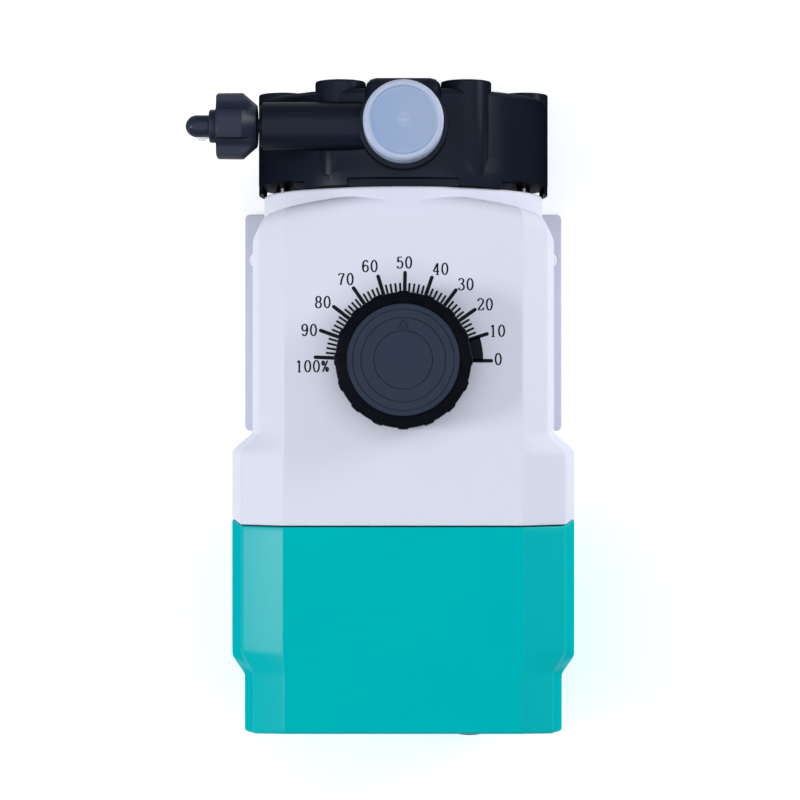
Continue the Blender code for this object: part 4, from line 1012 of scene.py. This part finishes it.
def makeKnob():
    height = knobHigh.z - knobHub.z
    steps = knob["ribs"] * 28
    top = knob["topRadius"]
    wide = knob["radius"]
    inner = knob["insertRadius"] - 0.6 * mm
    # (radius where a rib stands, height, how much of a valley's depth shows)
    rows = [
        (inner, height - 1.6 * mm, 0),
        (inner, height - 0.9 * mm, 0),
        (top - 0.2 * mm, height - 0.9 * mm, 0),
        (top, height - 1.0 * mm, 0),
        (top + 0.15 * mm, height - 3.2 * mm, 0),
        (top + 0.3 * mm, height - 3.7 * mm, 0.3),
        (top + 0.9 * mm, height - 3.9 * mm, 0.8),
        (wide - 1.2 * mm, height - 4.3 * mm, 1.0),
        (wide - 0.5 * mm, height - 4.7 * mm, 1.0),
        (wide - 0.3 * mm, height - 5.4 * mm, 1.0),
        (wide - 0.2 * mm, height - 9 * mm, 1.0),
        (wide, 2.4 * mm, 1.0),
        (wide - 0.1 * mm, 1.0 * mm, 0.9),
        (wide - 0.5 * mm, 0.3 * mm, 0.5),
        (wide - 1.4 * mm, 0.0, 0),
        (9.0 * mm, 0.0, 0),
        (9.0 * mm, -6.0 * mm, 0),
        (4.3 * mm, -6.0 * mm, 0),
        (4.3 * mm, height - 6 * mm, 0),
    ]
    shape = bmesh.new()
    rings = []
    for radius, z, share in rows:
        ring = []
        for i in range(steps):
            angle = 2 * math.pi * i / steps
            r = radius + share * (knobSkirtRadius(angle, knob["ribDepth"]) - wide)
            ring.append(shape.verts.new(knobHub + Vector((r * math.cos(angle), r * math.sin(angle), z))))
        rings.append(ring)
    stitched(shape, rings)
    for ring in (rings[0], rings[-1]):
        centre = shape.verts.new((knobHub.x, knobHub.y, ring[0].co.z))
        for i in range(steps):
            shape.faces.new((ring[i], ring[(i + 1) % steps], centre))
    piece = show("strokeKnobBody", shape, "knob_black", 28.0)
    fitted(piece, "knob_black", "stroke_setting", "stroke_knob")
    # the insert: a disc with turned rings and a framed triangle that points to the dial
    low, high = lowHigh("stroke_knob_insert")
    thick = high.z - low.z
    half, deep = knob["ringWidth"] / 2, knob["ringDepth"]
    profile = [(0, thick)]
    for radius in knob["rings"]:
        profile += [(radius - half, thick), (radius - half * 0.6, thick - deep)]
        profile += [(radius + half * 0.6, thick - deep), (radius + half, thick)]
    outer = knob["insertRadius"]
    profile += [(outer - 0.45 * mm, thick), (outer - 0.15 * mm, thick - 0.12 * mm), (outer, thick - 0.45 * mm)]
    foot = knob["insertRadius"] - 0.9 * mm
    profile += [(outer, 0.5 * mm), (foot, 0.5 * mm), (foot, 0), (0, 0)]
    disc = show("strokeKnobDisc", lathed(profile, (0, knobHub.y, low.z), up, 144), "knob_insert", 24.0)
    apex, base, half = knob["pointer"]
    triangle = [(-half, -base), (half, -base), (0, -apex)]
    disc = carved(disc, prism(triangle, -0.5 * mm, 2 * mm, (0, knobHub.y, high.z)))
    fitted(disc, "knob_insert", "stroke_setting", "stroke_knob_insert")
    heart = -(base + (apex - base) / 3)
    inside = [(x * 0.58, heart + (y - heart) * 0.58) for x, y in triangle]
    mark = prism(inside, 0, 0.40 * mm, (0, knobHub.y, high.z - 0.5 * mm))
    mark = show("strokeKnobPointer", mark, "knob_insert")
    fitted(mark, "knob_insert", "stroke_setting")
    print("stroke knob made")


dial = {
    "inner": 27.6 * mm,
    "start": -0.1,               # degrees from the -X side
    "sweep": 177.9,
    "majorReach": 36.7 * mm,
    "minorReach": 31.9 * mm,
    "majorWidth": 1.5 * mm,
    "minorWidth": 0.86 * mm,
    "bandReach": 32.7 * mm,
    "ink": 0.05 * mm,
    "digitWidth": 2.75 * mm,
    "digitHeight": 4.9 * mm,
    "digitStep": 3.55 * mm,
    "thick": 0.72 * mm,          # upright strokes
    "thin": 0.42 * mm,           # level strokes
    "centres": {
        "0": (-38.8, -0.6), "10": (-38.4, -12.2), "20": (-33.4, -23.0), "30": (-25.5, -31.2),
        "40": (-15.2, -37.5),
        "50": (-0.4, -40.1), "60": (13.7, -38.6), "70": (23.5, -33.3), "80": (32.9, -23.9), "90": (38.5, -12.5),
        "100%": (37.3, 2.3),
    },
}


def oval(x, y, rx, ry, steps=28):
    turns = [2 * math.pi * i / steps for i in range(steps)]
    return [(x + rx * math.cos(turn), y + ry * math.sin(turn)) for turn in turns]


# strokes in a cell 1 wide and 1 high: a line is straight, a curve is smoothed and a loop closes
six = [(0.84, 0.82), (0.70, 0.94), (0.50, 0.975), (0.24, 0.84), (0.12, 0.50), (0.20, 0.15),
       (0.50, 0.025), (0.80, 0.13),
       (0.89, 0.31), (0.78, 0.50), (0.52, 0.58), (0.28, 0.50), (0.15, 0.36)]
strokes = {
    "0": [("loop", oval(0.5, 0.5, 0.40, 0.475))],
    "1": [("line", [(0.24, 0.82), (0.54, 0.97), (0.54, 0.02)]), ("line", [(0.32, 0.02), (0.76, 0.02)])],
    "2": [("curve", [(0.13, 0.76), (0.18, 0.90), (0.48, 0.975), (0.80, 0.89), (0.86, 0.72),
                     (0.70, 0.50), (0.36, 0.25), (0.11, 0.04)]),
          ("line", [(0.11, 0.04), (0.86, 0.04), (0.92, 0.22)])],
    "3": [("curve", [(0.15, 0.80), (0.25, 0.93), (0.50, 0.975), (0.77, 0.90),
                     (0.82, 0.76), (0.68, 0.60), (0.42, 0.54)]),
          ("curve", [(0.42, 0.54), (0.72, 0.49), (0.89, 0.31), (0.82, 0.12),
                     (0.50, 0.025), (0.22, 0.06), (0.11, 0.20)])],
    "4": [("line", [(0.70, 0.02), (0.70, 0.97), (0.09, 0.28), (0.94, 0.28)]),
          ("line", [(0.50, 0.02), (0.88, 0.02)])],
    "5": [("line", [(0.84, 0.95), (0.25, 0.95), (0.19, 0.53)]),
          ("curve", [(0.19, 0.53), (0.44, 0.63), (0.76, 0.56), (0.88, 0.34), (0.79, 0.12),
                     (0.50, 0.025), (0.22, 0.06), (0.11, 0.20)])],
    "6": [("curve", six)],
    "7": [("line", [(0.12, 0.80), (0.15, 0.95), (0.90, 0.95)]),
          ("curve", [(0.90, 0.95), (0.62, 0.60), (0.46, 0.28), (0.43, 0.02)])],
    "8": [("loop", oval(0.5, 0.745, 0.33, 0.23)), ("loop", oval(0.5, 0.27, 0.39, 0.25))],
    "9": [("curve", [(1 - x, 1 - y) for x, y in six])],
    "%": [("loop", oval(0.22, 0.76, 0.15, 0.17, 18)), ("loop", oval(0.80, 0.24, 0.15, 0.17, 18)),
          ("line", [(0.16, 0.03), (0.86, 0.97)])],
}


def smoothPath(points, steps=5):
    # Catmull-Rom through the points
    points = [Vector(p) for p in points]
    ends = [points[0] * 2 - points[1]] + points + [points[-1] * 2 - points[-2]]
    made = []
    for i in range(1, len(ends) - 2):
        a, b, c, d = ends[i - 1:i + 3]
        for k in range(steps):
            t = k / steps
            cubic = (3 * b - a - 3 * c + d) * t ** 3
            made.append(0.5 * (2 * b + (c - a) * t + (2 * a - 5 * b + 4 * c - d) * t * t + cubic))
    return [tuple(p) for p in made + [points[-1]]]


def inkStroke(shape, points, widthOf, closed=False):
    # a flat ribbon along points given in the row's x and y, its width from the direction it runs in
    low, high = topZ, topZ + dial["ink"]
    points = [Vector(p) for p in points]
    count = len(points)
    rings = []
    for i, here in enumerate(points):
        before = points[i - 1] if closed or i else here
        after = points[(i + 1) % count] if closed or i < count - 1 else here
        way = (after - before).normalized()
        side = Vector((-way.y, way.x))
        flank = (here - before).normalized() if (here - before).length > 0 else way
        miter = 1 / max(0.5, abs(side.dot(Vector((-flank.y, flank.x)))))
        half = side * (widthOf(way) / 2 * miter)
        a, b = here + half, here - half
        rings.append([shape.verts.new((p.x, p.y, z)) for p, z in ((a, low), (a, high), (b, high), (b, low))])
    stitched(shape, rings + rings[:1] if closed else rings)
    if not closed:
        shape.faces.new(rings[0])
        shape.faces.new(rings[-1])


def dialPlace(value, reach):
    # 0 is at -X, 50 towards the head and 100 at +X
    angle = math.radians(dial["start"] + dial["sweep"] * value / 100)
    return Vector((-reach * math.cos(angle), knobHub.y - reach * math.sin(angle)))


def tickShape(shape, value, outer, width):
    a, b = dialPlace(value, dial["inner"]), dialPlace(value, outer - width / 2)
    way = (b - a).normalized()
    side = Vector((-way.y, way.x)) * width / 2
    start = math.atan2(way.y, way.x)
    arc = arcPoints(b, width / 2, start + math.pi / 2, start - math.pi / 2, 6)
    outline = [tuple(a - side), tuple(a + side)] + arc
    low = shape.faces.new([shape.verts.new((x, y, topZ)) for x, y in outline])
    made = bmesh.ops.extrude_face_region(shape, geom=[low])
    moved = [v for v in made["geom"] if isinstance(v, bmesh.types.BMVert)]
    bmesh.ops.translate(shape, verts=moved, vec=(0, 0, dial["ink"]))


def dialNumber(text, centre):
    # printed upright for someone who stands behind the pump: its right is -X and its top is towards the head
    shape = bmesh.new()

    def placed(point, offset):
        x = offset + (point[0] - 0.5) * dial["digitWidth"]
        y = (point[1] - 0.5) * dial["digitHeight"]
        return Vector((centre[0] * mm - x, knobHub.y + centre[1] * mm - y))

    def nib(way):
        return dial["thin"] + (dial["thick"] - dial["thin"]) * abs(way.y) ** 1.3

    for i, letter in enumerate(text):
        offset = (i - (len(text) - 1) / 2) * dial["digitStep"]
        for kind, points in strokes[letter]:
            if kind == "curve":
                points = smoothPath(points)
            if kind == "line":
                for start, end in zip(points, points[1:]):
                    inkStroke(shape, [placed(start, offset), placed(end, offset)], nib)
            else:
                inkStroke(shape, [placed(p, offset) for p in points], nib, kind == "loop")
    return shape


def makeDial():
    ticks = bmesh.new()
    for value in range(0, 101, 2):
        if value % 10 == 0:
            tickShape(ticks, value, dial["majorReach"], dial["majorWidth"])
        elif value > 10:
            tickShape(ticks, value, dial["minorReach"], dial["minorWidth"])
    middleReach = (dial["bandReach"] + dial["inner"]) / 2
    band = [dialPlace(value / 2, middleReach) for value in range(21)]
    inkStroke(ticks, band, lambda way: dial["bandReach"] - dial["inner"])
    fitted(show("dialTicks", ticks, "ink"), "fitting_black", "pump_body")
    for text, centre in dial["centres"].items():
        name = "dialNumber" + text.replace("%", "percent")
        fitted(show(name, dialNumber(text, centre), "ink"), "fitting_black", "pump_body")
    print("dial made")


def makeFasteners():
    for i in range(1, 7):
        low, high = lowHigh(f"head_screw_{i}")
        hub = middle(f"head_screw_{i}")
        length = high.y - low.y
        profile = filleted([
            (2.3 * mm, length), (4.25 * mm, length, 0.3 * mm), (4.6 * mm, length - 0.5 * mm, 0.3 * mm),
            (4.6 * mm, length - 5.6 * mm, 0.3 * mm), (2.9 * mm, length - 5.6 * mm, 0.3 * mm),
            (2.9 * mm, 0.6 * mm), (2.3 * mm, 0), (0, 0),
        ], closed=False, steps=3)
        profile = [(0, length - 2.6 * mm), (2.3 * mm, length - 2.6 * mm)] + profile
        screw = show(f"headScrew{i}", lathed(profile, (hub.x, high.y, hub.z), ahead, 48), "steel")
        fitted(screw, "steel", "pump_body", f"head_screw_{i}")
    for i in range(1, 5):
        low, high = lowHigh(f"cover_screw_{i}")
        hub = middle(f"cover_screw_{i}")
        length = high.y - low.y
        radius = 3.9 * mm
        profile = [(0, length - 0.3 * mm)] + filleted([
            (radius - 0.6 * mm, length, 0.3 * mm), (radius, length - 1.2 * mm, 0.6 * mm),
            (radius, length - 3 * mm, 0.2 * mm),
            (2 * mm, length - 3 * mm), (2 * mm, 0), (0, 0),
        ], closed=False, steps=4)
        screw = show(f"coverScrew{i}", lathed(profile, (hub.x, low.y, hub.z), back, 40), "steel")
        for quarter in range(2):
            size = (1.0 * mm, 2.4 * mm, 4.6 * mm) if quarter else (4.6 * mm, 2.4 * mm, 1.0 * mm)
            screw = carved(screw, boxShape(size, (hub.x, high.y, hub.z)))
        fitted(screw, "steel", "pump_body", f"cover_screw_{i}")
    # the gland: a domed nut on a hexagon
    low, high = lowHigh("cable_gland")
    hub = middle("cable_gland")
    face = coverHigh.y + 0.3 * mm
    reach = high.y - face
    nut = filleted([
        (3.5 * mm, reach), (5.4 * mm, reach, 0.8 * mm),
        (7.4 * mm, reach - 1.4 * mm, 1.2 * mm), (8.4 * mm, reach - 3.0 * mm, 0.6 * mm),
        (8.4 * mm, 3.0 * mm), (8.0 * mm, 3.0 * mm), (8.0 * mm, -9 * mm), (3.5 * mm, -9 * mm),
    ], closed=True, steps=4)
    gland = show("glandNut", lathed(nut, (hub.x, face, hub.z), back, 64, True), "fitting_black")
    hexagon = arcPoints((0, 0), 10.4 * mm, 0, 2 * math.pi * 5 / 6, 5)
    collar = prism(hexagon, 0.0, 3.4 * mm, (hub.x, face, hub.z), back, rim=0.5 * mm)
    gland = fused(gland, collar)
    gland = carved(gland, roundBar(3.5 * mm, 30 * mm, (hub.x, face - 12 * mm, hub.z), back, 40, 0))
    fitted(gland, "fitting_black", "pump_body", "cable_gland")
    print("fasteners made")


def makeStage():
    floorMesh = bpy.data.meshes.new("floor")
    shape = bmesh.new()
    bmesh.ops.create_grid(shape, x_segments=1, y_segments=1, size=3.0)
    shape.to_mesh(floorMesh)
    shape.free()
    floor = bpy.data.objects.new("floor", floorMesh)
    floor.location = (0, 0, -0.0005)
    bpy.context.scene.collection.objects.link(floor)
    # painted light: near the pump the floor glows by its own emission, which washes out the shadows, and both
    # glow and colour fade darker further out
    pale = Finish("floorPaintedGlow")
    x, y, z = pale.axes()
    far = pale.between((x * x + y * y) ** 0.5, 0.28, 0.75)
    pale.feed("Base Color", pale.blend(far, (0.93, 0.93, 0.94), (0.72, 0.73, 0.75)))
    pale.feed("Roughness", 0.9)
    pale.feed("Specular IOR Level", 0.0)
    pale.feed("Emission Color", pale.blend(far, (0.35, 0.35, 0.35), (0.0, 0.0, 0.0)))
    pale.feed("Emission Strength", 1.0)
    floorMesh.materials.append(pale.material)
    world = bpy.data.worlds.new("studio")
    bpy.context.scene.world = world
    world.use_nodes = True
    world.node_tree.nodes["Background"].inputs["Color"].default_value = (0.80, 0.87, 1.0, 1)
    world.node_tree.nodes["Background"].inputs["Strength"].default_value = 0.10
    bpy.context.scene.view_settings.view_transform = "Standard"
    for name, place, size, power, tint in (
        ("ceiling", (0.0, 0.15, 2.1), 3.4, 38.0, (0.95, 0.97, 1.0)),
        ("leftLamp", (1.25, 0.07, 0.85), 0.4, 8.0, (1.0, 1.0, 1.0)),
        ("rightLamp", (-1.1, -0.5, 0.45), 0.6, 7.0, (1.0, 1.0, 1.0)),
    ):
        lamp = bpy.data.lights.new(name, "AREA")
        lamp.shape = "DISK"
        lamp.size = size
        lamp.energy = power
        lamp.color = tint
        light = bpy.data.objects.new(name, lamp)
        light.location = place
        light.rotation_euler = (Vector((0, 0, 0.08)) - Vector(place)).to_track_quat("-Z", "Y").to_euler()
        bpy.context.scene.collection.objects.link(light)


def makeCamera():
    camera = bpy.data.cameras.new("camera")
    camera.lens = 112.5
    camera.sensor_width = 36.0
    camera.shift_x = -0.004125
    eye = bpy.data.objects.new("camera", camera)
    eye.location = (0, -14.7 * mm, 1.168)
    eye.rotation_euler = (0, 0, math.pi)
    bpy.context.scene.collection.objects.link(eye)
    bpy.context.scene.camera = eye


makeCamera()
makeStage()
makeHousing()
makeBase()
makeHead()
makeDiaphragm()
makeCaps()
makeBleed()
makeKnob()
makeDial()
makeFasteners()
